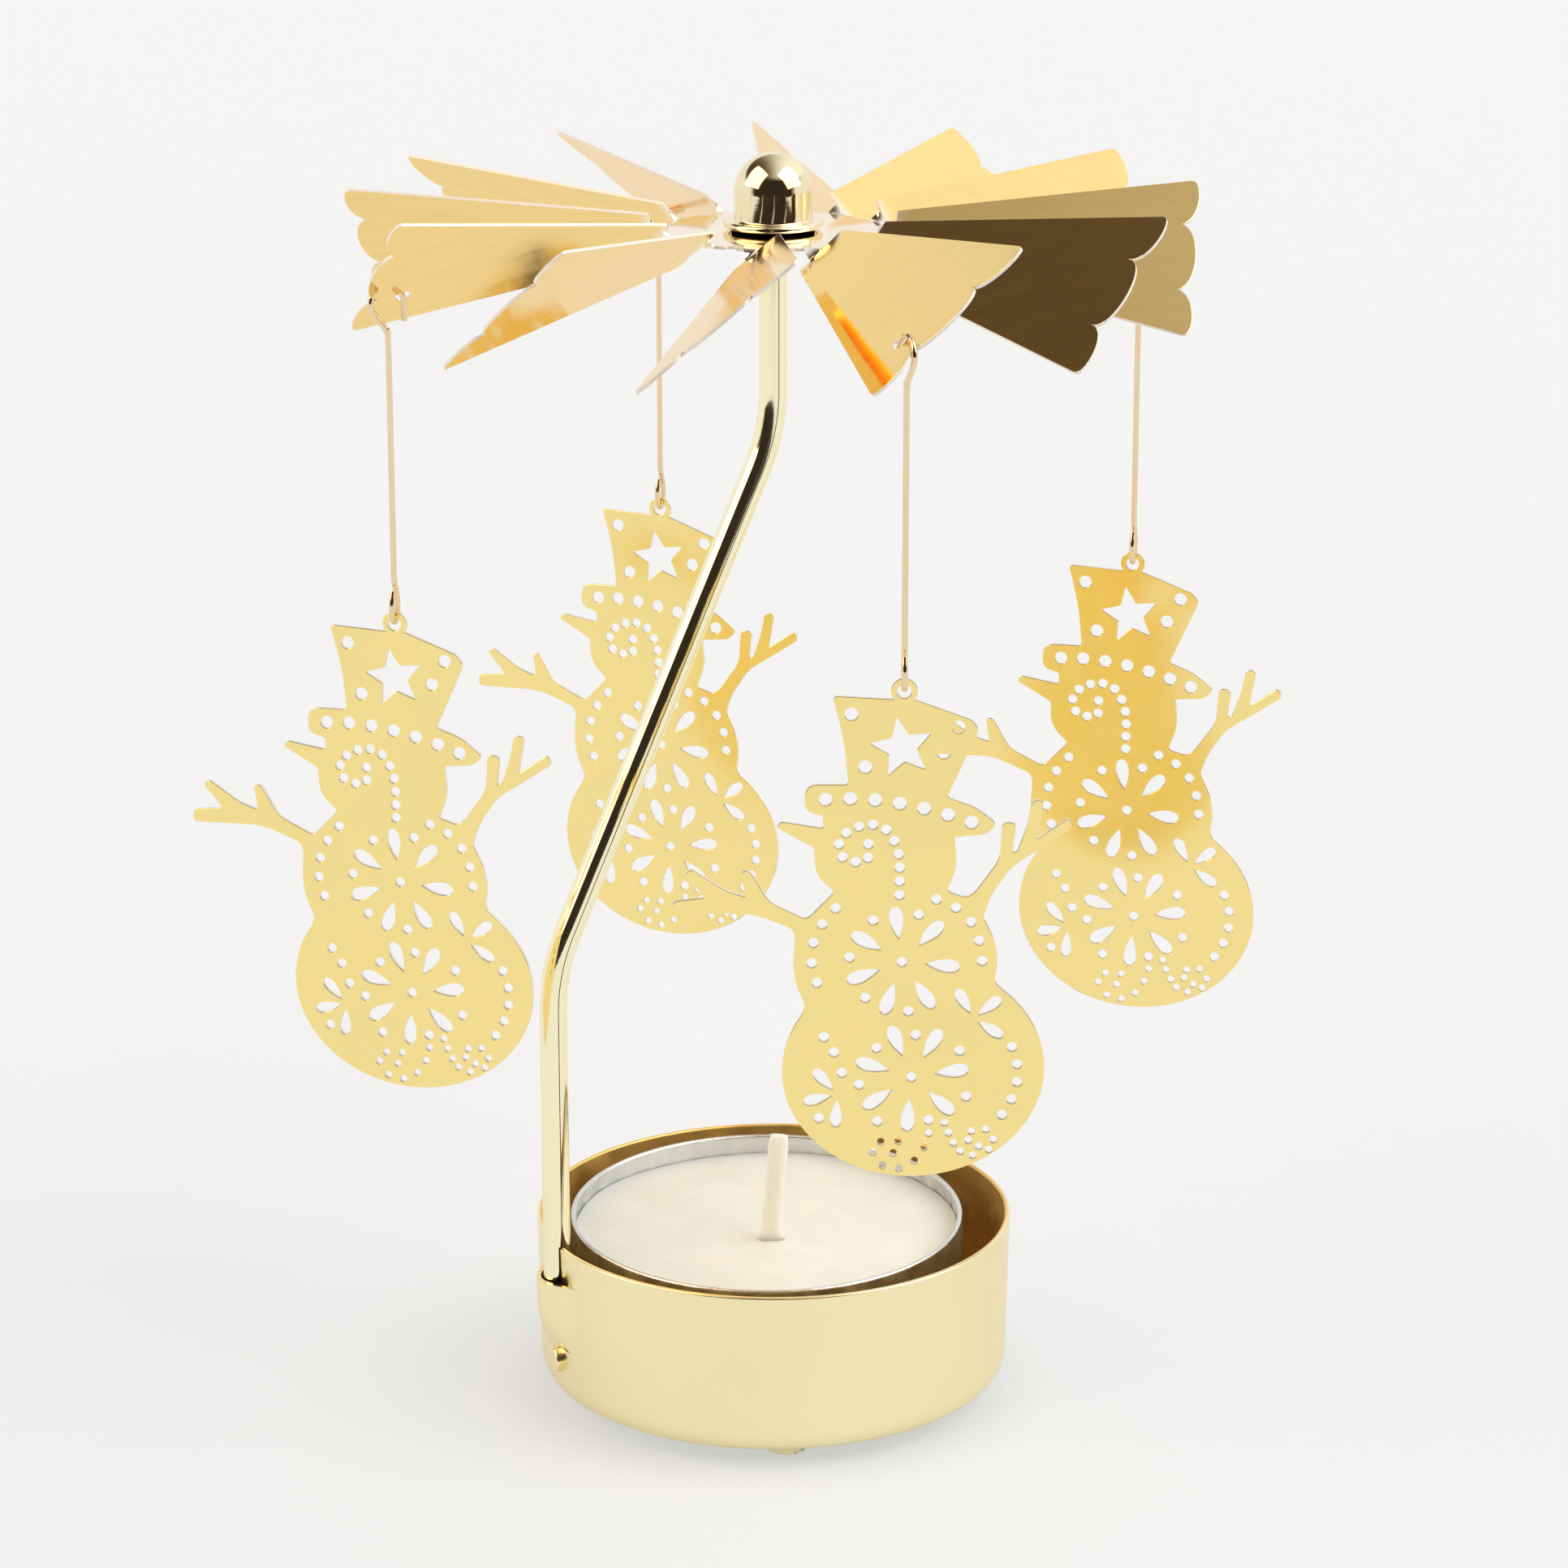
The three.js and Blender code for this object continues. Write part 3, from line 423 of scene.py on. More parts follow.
def make_piece(name, parts, finishes, body, node, crease=ROUND_CREASE):
    """One object from its parts: seams and poles closed, faces outward, smooth up to the crease angle."""
    starts = np.cumsum([0] + [len(points) for points, _, _ in parts])
    faces = [face for (_, corners, _), start in zip(parts, starts) for face in (corners + start).tolist()]
    mesh = bpy.data.meshes.new(name)
    mesh.from_pydata(np.vstack([points for points, _, _ in parts]), [], faces)
    mesh.polygons.foreach_set("material_index", np.concatenate([numbers for _, _, numbers in parts]))
    shape = bmesh.new()
    shape.from_mesh(mesh)
    bmesh.ops.remove_doubles(shape, verts=shape.verts, dist=WELD)
    bmesh.ops.recalc_face_normals(shape, faces=shape.faces)
    shape.to_mesh(mesh)
    shape.free()
    for finish in finishes:
        mesh.materials.append(finish)
    mesh.shade_smooth()
    mesh.set_sharp_from_angle(angle=np.radians(crease))
    piece = bpy.data.objects.new(name, mesh)
    bpy.context.scene.collection.objects.link(piece)
    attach(piece, body)
    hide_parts(node)
    return piece


def post_axes(sizes):
    """Outward and sideways directions at the post's foot."""
    outward = np.array([np.cos(sizes.azimuth), np.sin(sizes.azimuth), 0.0])
    return outward, np.array([-outward[1], outward[0], 0.0])


def tray_part(sizes):
    """The pressed tray: a turned profile whose floor drops at the feet. The faces inside have finish 1."""
    low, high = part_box("tray")
    foot = high.x - sizes.taper
    lip = 0.45 * sizes.sheet
    profile = rounded([
        (0, 0, 0),
        (foot, 0, sizes.corner),
        (high.x, high.z, lip),
        (high.x - sizes.sheet, high.z, lip),
        (foot - sizes.sheet, sizes.sheet, sizes.corner - sizes.sheet),
        (0, sizes.sheet, 0),
    ], steps=9)
    profile = divided(profile, longest=0.4 * MM)
    rows = turned(profile, segments=320)
    for turn in sizes.foot_azimuth + np.arange(sizes.feet) * FULL_TURN / sizes.feet:
        centre = sizes.foot_circle * np.array([np.cos(turn), np.sin(turn)])
        distance = np.linalg.norm(rows[..., :2] - centre, axis=-1)
        rows[..., 2] += low.z * ease(sizes.foot_radius, sizes.foot_radius - sizes.foot_draft, distance)
    points, quads, _ = grid(rows, wrap_rows=True)
    inside = np.arange(len(profile) - 1) > profile[:, 1].argmax()
    return points, quads, np.tile(inside, len(rows)).astype(int)


def wall_radius(sizes, height):
    """Radius of the tray's straight outer wall at a height."""
    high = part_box("tray")[1]
    return high.x - sizes.taper * (1 - height / high.z)


def pocket_part(sizes):
    """The pocket pressed out of the wall below the post.

    At the share q of its height, from the mouth down, and the share t of its half width it stands out by
    stand (1 - q^4) (1 + cos(pi t)) / 2.
    """
    t = np.linspace(-1, 1, 61)[:, None]
    q = np.linspace(0, 1, 31)
    height = np.broadcast_to(sizes.pocket_mouth - sizes.pocket_depth * q, (len(t), len(q)))
    stand = sizes.pocket_stand * (1 - q**4) * (1 + np.cos(np.pi * t)) / 2
    wall = wall_radius(sizes, height)
    turn = sizes.azimuth + t * sizes.pocket_half / wall
    sunk_edge = 0.02 * MM
    outer, inner = (
        np.stack([radius * np.cos(turn), radius * np.sin(turn), height], axis=-1)
        for radius in (wall + stand - sunk_edge, wall + stand - sizes.sheet)
    )
    return grid(folded_ends(np.concatenate([outer, inner[:, ::-1]], axis=1)), wrap_columns=True)


def stud_part(sizes):
    """The round stud below the pocket: a turned button whose axis points out of the wall."""
    outward, sideways = post_axes(sizes)
    wall = wall_radius(sizes, sizes.pip_height)
    edge = 0.3 * sizes.pip_stand
    profile = rounded([
        (sizes.pip_radius, -sizes.sheet, 0),
        (sizes.pip_radius, sizes.pip_stand, edge),
        (0, sizes.pip_stand, 0),
    ])
    across, along, out = np.moveaxis(turned(profile, segments=40), -1, 0)[..., None]
    centre = wall * outward + sizes.pip_height * UP
    return grid(centre + across * sideways + along * UP + out * outward, wrap_rows=True)


def strip_section(radius, wall, start, end):
    """Sections of a bent strip from the angle start to end, which may differ along the post: the outer
    line R (cos a, sin a), and back along the inner line.
    """
    turn = np.linspace(start, end, 18, axis=-1)
    outer = radius * np.stack([np.cos(turn), np.sin(turn)], axis=-1)
    return np.concatenate([outer, outer[:, ::-1] * (1 - wall / radius)], axis=1)


def post_parts(sizes):
    """The rolled post: an outer and an inner half, bent along one path and open at the tray's wall."""
    outward, sideways = post_axes(sizes)
    tray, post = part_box("tray")[1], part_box("post")[1]
    slot_top = tray.z + sizes.slot_gap
    line = divided(rounded([
        (sizes.circle, tray.z - sizes.outer_tongue, 0),
        (sizes.circle, sizes.lower_bend, sizes.bend),
        (0, sizes.upper_bend, sizes.bend),
        (0, post.z, 0),
    ], steps=14), longest=0.6 * MM)
    # Two rows close together make the slot's upper end square.
    step = 0.01 * MM
    line = np.vstack([
        line[line[:, 1] < slot_top],
        [(sizes.circle, slot_top), (sizes.circle, slot_top + step)],
        line[line[:, 1] > slot_top + 10 * step],
    ])
    path = line[:, :1] * outward + line[:, 1:] * UP
    height = line[:, 1]
    in_slot = height <= slot_top
    half_seam = np.where(in_slot, 0, sizes.seam / sizes.radius / 2)
    slot_outer = np.arccos((tray.x + sizes.slot_gap - sizes.circle) / sizes.radius)
    narrow = ease(height[0] - sizes.wall, height[0] + sizes.tongue_taper, height)
    outer_half = np.where(in_slot, slot_outer * narrow, np.pi / 2)
    outer = strip_section(sizes.radius, sizes.wall, -outer_half, outer_half - half_seam)
    inside = height >= tray.z - sizes.inner_tongue
    slot_inner = np.where(in_slot, np.pi - slot_outer, np.pi / 2)
    inner = strip_section(sizes.radius, sizes.wall, slot_inner + half_seam, FULL_TURN - slot_inner)
    halves = carried(path, outer, sideways), carried(path[inside], inner[inside], sideways)
    return [grid(folded_ends(rows), wrap_columns=True) for rows in halves]


def wrinkles(turn, height):
    """Waves round a wall: strength sin(count a + slope z + sway sin(bends a)), summed over three kinds."""
    kinds = ((1.0, 31, 300, 2.5, 3), (0.7, 53, -500, 1.7, 5), (0.5, 9, 700, 0.0, 0))
    return sum(strength * np.sin(count * turn + slope * height + sway * np.sin(bends * turn))
               for strength, count, slope, sway, bends in kinds)


def cup_part(sizes):
    """The foil cup: a turned profile with a rolled rim, pushed in and out by wrinkles round its wall."""
    low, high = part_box("tealight_cup")
    radius = (high.y - low.y) / 2
    wall, bead = sizes.cup_wall, sizes.cup_bead
    profile = np.vstack([
        rounded([(0, low.z, 0), (radius, low.z, sizes.cup_corner), (radius, high.z - bead, 0)]),
        arc(radius - bead, high.z - bead, bead, 0, 220, 12),
        rounded([
            (radius - wall - bead / 2, high.z - 2.5 * bead, 0),
            (radius - wall, high.z - 5 * bead, bead),
            (radius - wall, low.z + wall, sizes.cup_corner - wall),
            (0, low.z + wall, 0),
        ]),
    ])
    rows = turned(divided(profile, longest=0.45 * MM), segments=288)
    turn = np.linspace(0, FULL_TURN, len(rows), endpoint=False)[:, None]
    height = rows[..., 2]
    on_wall = ease(0.93 * radius, 0.97 * radius, np.linalg.norm(rows[..., :2], axis=-1))
    below_rim = ease(high.z - bead, high.z - 4 * bead, height)
    push = 1 + sizes.crinkle * wrinkles(turn, height) / 2 * on_wall * below_rim / radius
    rows[..., :2] *= push[..., None]
    rows[..., 2] += rows[..., 1] * np.tan(sizes.lean) * (height - low.z) / (high.z - low.z)
    return moved(grid(rows, wrap_rows=True), lambda points: points + [(low.x + high.x) / 2, 0, 0])


def wax_part(sizes):
    """The wax: a turned block whose top leans, swells a little and climbs at the wall and the wick."""
    low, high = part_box("wax")
    middle = np.array([(low.x + high.x) / 2, 0, 0])
    radius = (high.y - low.y) / 2
    top = rounded([(radius, low.z, 0), (radius, high.z, sizes.meniscus / 3), (0, high.z, 0)])
    rows = turned(divided(np.vstack([[(0, low.z)], top]), longest=0.5 * MM), segments=128)
    turn = np.linspace(0, FULL_TURN, len(rows), endpoint=False)[:, None]
    outward = np.linalg.norm(rows[..., :2], axis=-1)
    from_wick = np.linalg.norm((rows + middle - wick_foot(sizes))[..., :2], axis=-1)
    at_wall = sizes.meniscus * np.exp((outward - radius) / (3 * sizes.meniscus))
    at_wick = sizes.mound * np.exp(-(from_wick / (6 * sizes.mound)) ** 2)
    swell = 0.12 * MM * np.sin(2 * turn + 0.6) * (outward / radius) ** 2
    ripple = 0.07 * MM * np.sin(5 * turn + 400 * outward) * (outward / radius)
    lean = rows[..., 1] * np.tan(sizes.lean)
    climb = at_wall - sizes.wax_drop + at_wick + lean + swell + ripple
    rows[..., 2] += climb * (rows[..., 2] > high.z - sizes.meniscus)
    return moved(grid(rows, wrap_rows=True), lambda points: points + middle)


def wick_foot(sizes):
    """The middle of the wick's lower end."""
    low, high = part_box("wick")
    return np.array([low.x + sizes.wick_half, (low.y + high.y) / 2, low.z])


def wick_part(sizes):
    """The flat wick: at each height its section is the ellipse (w cos a, g f w sin a), with its flatness f
    and with g below 1 in a groove. The width w grows at the waxed foot and shrinks at the top.
    """
    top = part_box("wick")[1].z
    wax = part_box("wax")[1].z
    foot = wick_foot(sizes)
    heights = np.array([foot[2], wax, (wax + top) / 2, top])
    leans = sizes.wick_lean * np.array([0, 0, 0.4, 1])
    path = smooth_path(np.column_stack([foot[0] + leans, np.full(4, foot[1]), heights]), steps=30)
    rise = (path[:, 2:] - wax) / (top - wax)
    turn = np.linspace(0, FULL_TURN, 48, endpoint=False)
    groove = 1 - 0.12 * np.cos(2 * turn - np.pi) ** 8
    waxed_foot = 1 + 0.3 * np.exp(-9 * np.maximum(rise, 0))
    worn_top = 1 - 0.12 * ease(0.9, 1.0, rise)
    width = sizes.wick_half * waxed_foot * worn_top
    flatness = sizes.wick_thickness / 2 / sizes.wick_half
    section = np.stack([width * np.cos(turn), width * groove * np.sin(turn) * flatness], axis=-1)
    return grid(pointed_ends(carried(path, section, np.array([0, 1.0, 0]))), wrap_columns=True)


def blade_outline(sizes):
    """Outline of a flat blade, with its length along X.

    At the share s of its half width the blade ends at notch + depth sqrt(1 - q^2), where q goes from -1
    to 1 across the middle scallop, and across the side scallops until they meet the straight sides.
    """
    slope = np.tan(sizes.half_angle)
    notch = sizes.reach - sizes.scallop_depth
    split = sizes.scallop_split
    half = (1 - split) * sizes.scallop_side
    q = -np.cos(np.linspace(0, np.pi, 21))
    shares = np.concatenate([split * q[10:], (split + half * (1 + q))[1:]])
    shares = np.append(shares[shares < 1], 1)
    middle = np.where(shares > split, split + half, 0)
    width = np.where(shares > split, half, split)
    bulge = notch + sizes.scallop_depth * np.sqrt(np.maximum(1 - ((shares - middle) / width) ** 2, 0))
    end = np.column_stack([bulge, shares * bulge * slope])
    root = (sizes.plate_radius + sizes.neck_length) * np.array([1, slope])
    kept = end[np.linalg.norm(end - end[-1], axis=1) > sizes.corner]
    corner = rounded([(*kept[-1], 0), (*end[-1], sizes.corner), (*root, 0)], steps=8)
    upper = np.vstack([kept[:-1], corner])
    return np.vstack([upper[:0:-1] * [1, -1], upper])


def blade_place(sizes, height, tilt):
    """A function that tilts and lowers points of a flat blade."""
    def place(points):
        along, across, off = np.moveaxis(points, -1, 0)
        sag = np.maximum(along - sizes.plate_radius, 0) * np.tan(sizes.droop)
        y = across * np.cos(tilt) - off * np.sin(tilt)
        z = height + across * np.sin(tilt) + off * np.cos(tilt) - sag
        return np.stack([along, y, z], axis=-1)
    return place


def neck_part(sizes, height):
    """The neck between plate and blade: a flat strip whose tilt grows smoothly along it."""
    lap = 0.4 * MM
    start, end = sizes.plate_radius, sizes.plate_radius + sizes.neck_length
    along = np.linspace(start - lap, end + lap, 16)[:, None]
    tilt = sizes.tilt * ease(start, end, along)
    width = np.linspace(-sizes.neck_half, sizes.neck_half, 9)
    half = np.full(len(width), 0.46 * sizes.sheet)
    across = np.concatenate([width, width[::-1]])
    off = np.concatenate([-half, half])
    points = np.stack(np.broadcast_arrays(along, across, off), axis=-1)
    return grid(folded_ends(blade_place(sizes, height, tilt)(points)), wrap_columns=True)


def plate_part(sizes, height):
    """The flat middle: a disc with a bore and a round cut between each pair of necks."""
    step = 360 / sizes.blades
    half_cut = np.degrees(np.arcsin(sizes.relief_radius / sizes.plate_radius))
    rim = arc(0, 0, sizes.plate_radius, half_cut - step / 2, step / 2 - half_cut, 14)
    middle = arc(0, 0, sizes.plate_radius, step / 2, step / 2, 1)[0]
    tuck = 3
    cut = arc(*middle, sizes.relief_radius, step / 2 - 90 - tuck, step / 2 - 270 + tuck, 13)
    sector = np.pad(np.vstack([rim, cut]), ((0, 0), (0, 1)))
    turns = np.radians(step) * np.arange(sizes.blades)
    outline = np.vstack([about_axis(sector, turn)[:, :2] for turn in turns])
    bore = circle(0, 0, sizes.eyelet_radius, 48)
    sheet = pierced_sheet(outline, [bore], sizes.sheet, sizes.edge)
    return moved(sheet, lambda points: points + [0, 0, height])


def hook_hole(sizes, hangers):
    """The hole for a hook, where the hook's circle cuts the blade on the side of the hub."""
    along, across, _ = about_axis(PLACES["wire_swing_front"], -sizes.azimuth)
    across /= np.cos(sizes.tilt)
    surface = blade_place(sizes, PLACES["rotor_spin"][2], sizes.tilt)(np.array([along, across, 0]))
    rise = surface[2] - PLACES["wire_swing_front"][2]
    return circle(along - np.sqrt(hangers.crook_radius**2 - rise**2), across, sizes.hole_radius, 20)


def propeller_parts(sizes, hangers):
    """The plate, the necks and the blades; every third blade has a hole for a hook."""
    height = PLACES["rotor_spin"][2]
    outline = blade_outline(sizes)
    plain = pierced_sheet(outline, [], sizes.sheet, sizes.edge)
    holed = pierced_sheet(outline, [hook_hole(sizes, hangers)], sizes.sheet, sizes.edge)
    neck = neck_part(sizes, height)
    tilted = blade_place(sizes, height, sizes.tilt)
    parts = [moved(plate_part(sizes, height), lambda points: about_axis(points, sizes.azimuth))]
    for i in range(sizes.blades):
        turn = sizes.azimuth + i * FULL_TURN / sizes.blades
        blade = moved(holed if i % (sizes.blades // len(SIDES)) == 0 else plain, tilted)
        parts += [moved(part, lambda points: about_axis(points, turn)) for part in (blade, neck)]
    return parts


def cap_part(sizes):
    """The domed cap with its rolled brim, turned about the axis."""
    low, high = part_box("hub_cap")
    radius, wall, bead = sizes.cap_radius, sizes.cap_wall, sizes.brim_bead
    spring = high.z - radius
    middle = low.z + sizes.brim_lift + bead
    profile = np.vstack([
        [(radius - wall, low.z), (radius + sizes.cap_seat, low.z)],
        arc(high.x - bead, middle, bead, -90, 90, 16),
        rounded([
            (radius + sizes.brim_fillet, middle + bead, 0),
            (radius, middle + bead, sizes.brim_fillet),
            (radius, spring, 0),
        ]),
        arc(0, spring, radius, 0, 90, 40),
        arc(0, spring, radius - wall, 90, 0, 20),
        [(radius - wall, low.z)],
    ])
    return grid(turned(distinct(profile), segments=128), wrap_rows=True)


def collar_part(sizes):
    """The collar under the plate, with its eyelet through the bore."""
    low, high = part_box("hub_collar")
    plate_under = PLACES["rotor_spin"][2] - sizes.sheet / 2
    bore = sizes.eyelet_radius - sizes.eyelet_wall
    roll = 0.35 * MM
    inner_corner = 0.05 * MM
    profile = rounded([
        (bore, low.z, 0),
        (high.x, low.z, roll),
        (high.x, plate_under, roll),
        (sizes.eyelet_radius, plate_under, inner_corner),
        (sizes.eyelet_radius, high.z, roll / 3),
        (bore, high.z, roll / 3),
        (bore, low.z, 0),
    ], steps=8)
    return grid(turned(distinct(profile), segments=96), wrap_rows=True)


def wire_part(sizes, side):
    """A round wire: a hook along its blade, a straight run and a pinched loop square to its snowman.

    The bends after the hook are shares of its radius, the loop's sides of its half width and height.
    """
    radius = sizes.loop_radius
    loop_size = [radius, sizes.loop_height]
    across_hook, through_ring = AXES[f"wire_swing_{side}"], AXES[f"figure_swing_{side}"]
    outward = np.cross(UP, across_hook)
    crook = np.vstack([
        [(-sizes.crook_radius, -sizes.crook_end)],
        arc(0, 0, sizes.crook_radius, 180, -40, 12),
        sizes.crook_radius * np.array([(0.12, -1.6), (0, -2.6)]),
    ])
    loop = np.vstack([
        np.array([(0, 2.2), (0, 1.2), (0.5, 0.88), (1, 0.55)]) * loop_size,
        arc(0, radius, radius, 0, -180, 9),
        np.array([(-1, 0.55), (-0.55, 0.85)]) * loop_size,
    ])
    upper = crook[:, :1] * outward + crook[:, 1:] * UP
    lower = loop[:, :1] * through_ring + (loop[:, 1:] - sizes.wire_drop) * UP
    path = smooth_path(np.vstack([upper, lower]), steps=6) + PLACES[f"wire_swing_{side}"]
    across_loop = np.cross(UP, through_ring)
    across = across_hook + across_loop * np.where(across_hook @ across_loop < 0, -1, 1)
    section = circle(0, 0, sizes.wire_radius, 14)
    return grid(pointed_ends(carried(path, section, across)), wrap_columns=True)


# Snowman, drawn in millimetres from the middle of its ring and then brought to its height

DRAWN_HEIGHT = 44.15 * MM


def dots(places, radius):
    """Round holes at the places."""
    return [circle(x, y, radius / MM, 18) for x, y in places]


def row_of_dots(ends, count, radius):
    """Round holes at even distances along the curve (1 - t)^2 a + 2 t (1 - t) b + t^2 c."""
    a, b, c = np.array(ends)[:, None]
    t = np.linspace(0, 1, 60)[:, None]
    return dots(evenly((1 - t) ** 2 * a + 2 * t * (1 - t) * b + t**2 * c, count), radius)


def petal(x, y, turn, reach, long, half_width):
    """A drop-shaped hole: (reach - cos t long / 2, -k sin t sin(t / 2) half_width), turned about (x, y).

    The factor k makes its greatest half width half_width.
    """
    k = 1.3
    t = np.linspace(0, FULL_TURN, 26)[:-1]
    along = reach - np.cos(t) * long / 2
    across = -np.sin(t) * np.sin(t / 2) * half_width * k
    return np.column_stack([x + along * np.cos(turn) - across * np.sin(turn),
                            y + along * np.sin(turn) + across * np.cos(turn)])


def star(sizes, x, y, turn):
    """A five-pointed hole with slightly blunted corners."""
    number = np.arange(-1, 11)
    far = np.where(number % 2 == 0, sizes.star_radius, sizes.star_waist) / MM
    angles = np.radians(turn) + number * FULL_TURN / 10
    blunting = np.full(len(number), 0.18)
    corners = np.column_stack([x + far * np.cos(angles), y + far * np.sin(angles), blunting])
    return rounded(corners, steps=4)[1:-1]


def flower(sizes, x, y, turn, gaps):
    """Seven petals round a dot, with dots in the first gaps between them."""
    count = 7
    step = FULL_TURN / count
    start = np.radians(turn)
    shape = sizes.flower_radius / MM, sizes.petal_length / MM, sizes.petal_half / MM
    petals = [petal(x, y, start + i * step, *shape) for i in range(count)]
    angles = start + step * (np.arange(gaps) - 0.5)
    ring = np.column_stack([np.cos(angles), np.sin(angles)]) * sizes.flower_dots / MM
    return petals + dots(np.vstack([[(0, 0)], ring]) + [x, y], sizes.body_dot)


def sprig(sizes, x, y, *turns):
    """Leaves that spread from one point."""
    long = sizes.sprig_length / MM
    reach = 0.72 * long
    return [petal(x, y, np.radians(turn), reach, long, sizes.sprig_half / MM) for turn in turns]


def snowman_holes(sizes):
    """All holes of a snowman below its ring."""
    cane = smooth_path([
        (-0.3, -18.2), (-0.4, -14.5), (-1.5, -12.3), (-3.4, -11.9),
        (-5.4, -13.1), (-5.1, -14.9), (-3.2, -15.1), (-3.0, -13.6),
    ], steps=12)
    belly = [
        (1.2, -31.0), (5.05, -32.45), (5.65, -36.7), (2.4, -38.9),
        (-2.1, -39.0), (-3.7, -35.6), (-2.2, -32.2),
    ]
    loose = [(-6.8, -31.2), (-5.9, -32.6), (-5.2, -34.5), (-7.2, -38.7)]
    snow = [
        (4.15, -40.08), (4.6, -41.02), (5.19, -41.8), (6.29, -42.18), (6.81, -41.33),
        (7.69, -41.65), (8.09, -40.7), (7.41, -39.76), (6.14, -39.92), (5.89, -40.77),
        (3.79, -39.14), (2.41, -40.11), (2.04, -41.43), (-0.25, -40.86), (-1.78, -40.92),
        (-2.48, -41.87), (-0.69, -41.96), (1.17, -42.68), (-1.62, -43.12), (-0.18, -43.4),
    ]
    return [
        star(sizes, -0.15, -5.0, 100),
        *dots([(-4.5, -2.0), (4.65, -3.15), (3.4, -5.4), (-3.3, -6.7)], sizes.hat_dot),
        *row_of_dots([(-6.7, -9.6), (-1.2, -9.1), (5.85, -11.65)], 7, sizes.hat_dot),
        *dots(evenly(cane, 14), sizes.body_dot),
        *row_of_dots([(-5.8, -19.4), (-8.9, -22.6), (-7.4, -26.2)], 5, sizes.body_dot),
        *row_of_dots([(2.9, -18.6), (6.7, -19.6), (6.9, -24.2)], 5, sizes.body_dot),
        *row_of_dots([(9.6, -32.1), (11.0, -35.2), (8.8, -38.4)], 5, sizes.body_dot),
        *dots(belly + loose, sizes.body_dot),
        *flower(sizes, -0.05, -24.3, 97.5, 5),
        *flower(sizes, 0.85, -34.9, 111.5, 0),
        *sprig(sizes, 6.2, -29.5, 118, 39, -33),
        *sprig(sizes, -5.6, -36.5, 132, 194, 267),
        *dots(snow, sizes.snow_dot),
    ]


def snowman_outline(ring_radius):
    """The cut outline: ring, hat, nose, head, twig arms and balls, anticlockwise from the ring's right.

    Each corner is (x, y, reach of its rounding). The lower ball is part of a turned ellipse.
    """
    ring = arc(0, 0, ring_radius, -38, 218, 30)
    around = np.radians(np.linspace(146, 406, 60))
    half_width, half_height, turn = 11.45, 9.9, np.radians(2.7)
    ellipse = np.column_stack([half_width * np.cos(around), half_height * np.sin(around), 0 * around])
    ball = about_axis(ellipse, turn) + [1.0, -34.25, 0]
    hat_and_nose = [
        (-6.15, -0.42, 0.5), (-5.1, -4.4, 2.0), (-4.75, -8.3, 0.3), (-8.5, -8.3, 1.2),
        (-8.5, -10.7, 1.2), (-6.9, -11.1, 0.3), (-6.9, -12.2, 0.25), (-10.55, -11.6, 0.3),
        (-10.95, -12.15, 0.3), (-7.65, -14.0, 0.25), (-7.6, -16.4, 1.4), (-5.9, -17.95, 0.4),
    ]
    left_arm = [
        (-8.3, -20.45, 0.5), (-11.6, -18.85, 0.9), (-13.25, -16.0, 0.4), (-13.95, -16.1, 0.4),
        (-13.6, -18.4, 0.25), (-15.2, -17.9, 0.8), (-18.25, -15.85, 0.5), (-18.85, -16.35, 0.5),
        (-17.0, -18.5, 0.4), (-19.9, -18.8, 0.5), (-19.95, -20.0, 0.5), (-13.2, -19.85, 1.5),
        (-9.5, -21.3, 0.5),
    ]
    left_side = [(-9.3, -22.2, 0.4), (-9.5, -24.3, 0.9), (-9.3, -26.2, 0.9), (-8.4, -28.4, 0.5)]
    right_side = [(8.0, -26.1, 0.5), (8.3, -24.3, 0.9), (7.95, -22.2, 0.9), (6.95, -20.2, 0.4)]
    right_arm = [
        (7.6, -18.3, 0.8), (9.3, -15.7, 0.8), (11.7, -14.1, 0.8), (14.55, -12.15, 0.45),
        (14.25, -11.2, 0.5), (11.45, -13.2, 0.25), (12.05, -9.7, 0.5), (11.05, -9.65, 0.5),
        (10.6, -12.0, 0.8), (9.8, -14.3, 0.2), (9.4, -14.4, 0.2), (9.7, -11.7, 0.5),
        (8.5, -11.65, 0.5), (8.3, -15.0, 0.8), (6.2, -18.0, 0.8), (5.5, -18.45, 0.4),
        (3.8, -17.9, 0.4),
    ]
    head_and_hat = [
        (4.7, -15.6, 1.2), (4.4, -13.0, 0.25), (7.2, -12.75, 0.7), (8.05, -11.8, 0.5),
        (6.2, -10.3, 0.9), (3.75, -9.4, 0.3), (6.4, -3.4, 0.4), (5.9, -2.55, 0.5),
    ]
    left = rounded([(*ring[-1], 0), *hat_and_nose, *left_arm, *left_side, ball[0]], steps=5)
    right = rounded([ball[-1], *right_side, *right_arm, *head_and_hat, (*ring[0], 0)], steps=5)
    return np.vstack([ring, left, ball[:, :2], right[:-1]])


def snowman_sheet(sizes):
    """One flat snowman."""
    scale = sizes.snowman_height / DRAWN_HEIGHT
    outline = snowman_outline(sizes.ring_radius / MM / scale)
    holes = [hole * scale for hole in snowman_holes(sizes)]
    eye = circle(0, 0, sizes.ring_hole / MM, 24)
    lines = [line * MM for line in [outline * scale, eye, *holes]]
    return pierced_sheet(lines[0], lines[1:], sizes.sheet, sizes.edge)


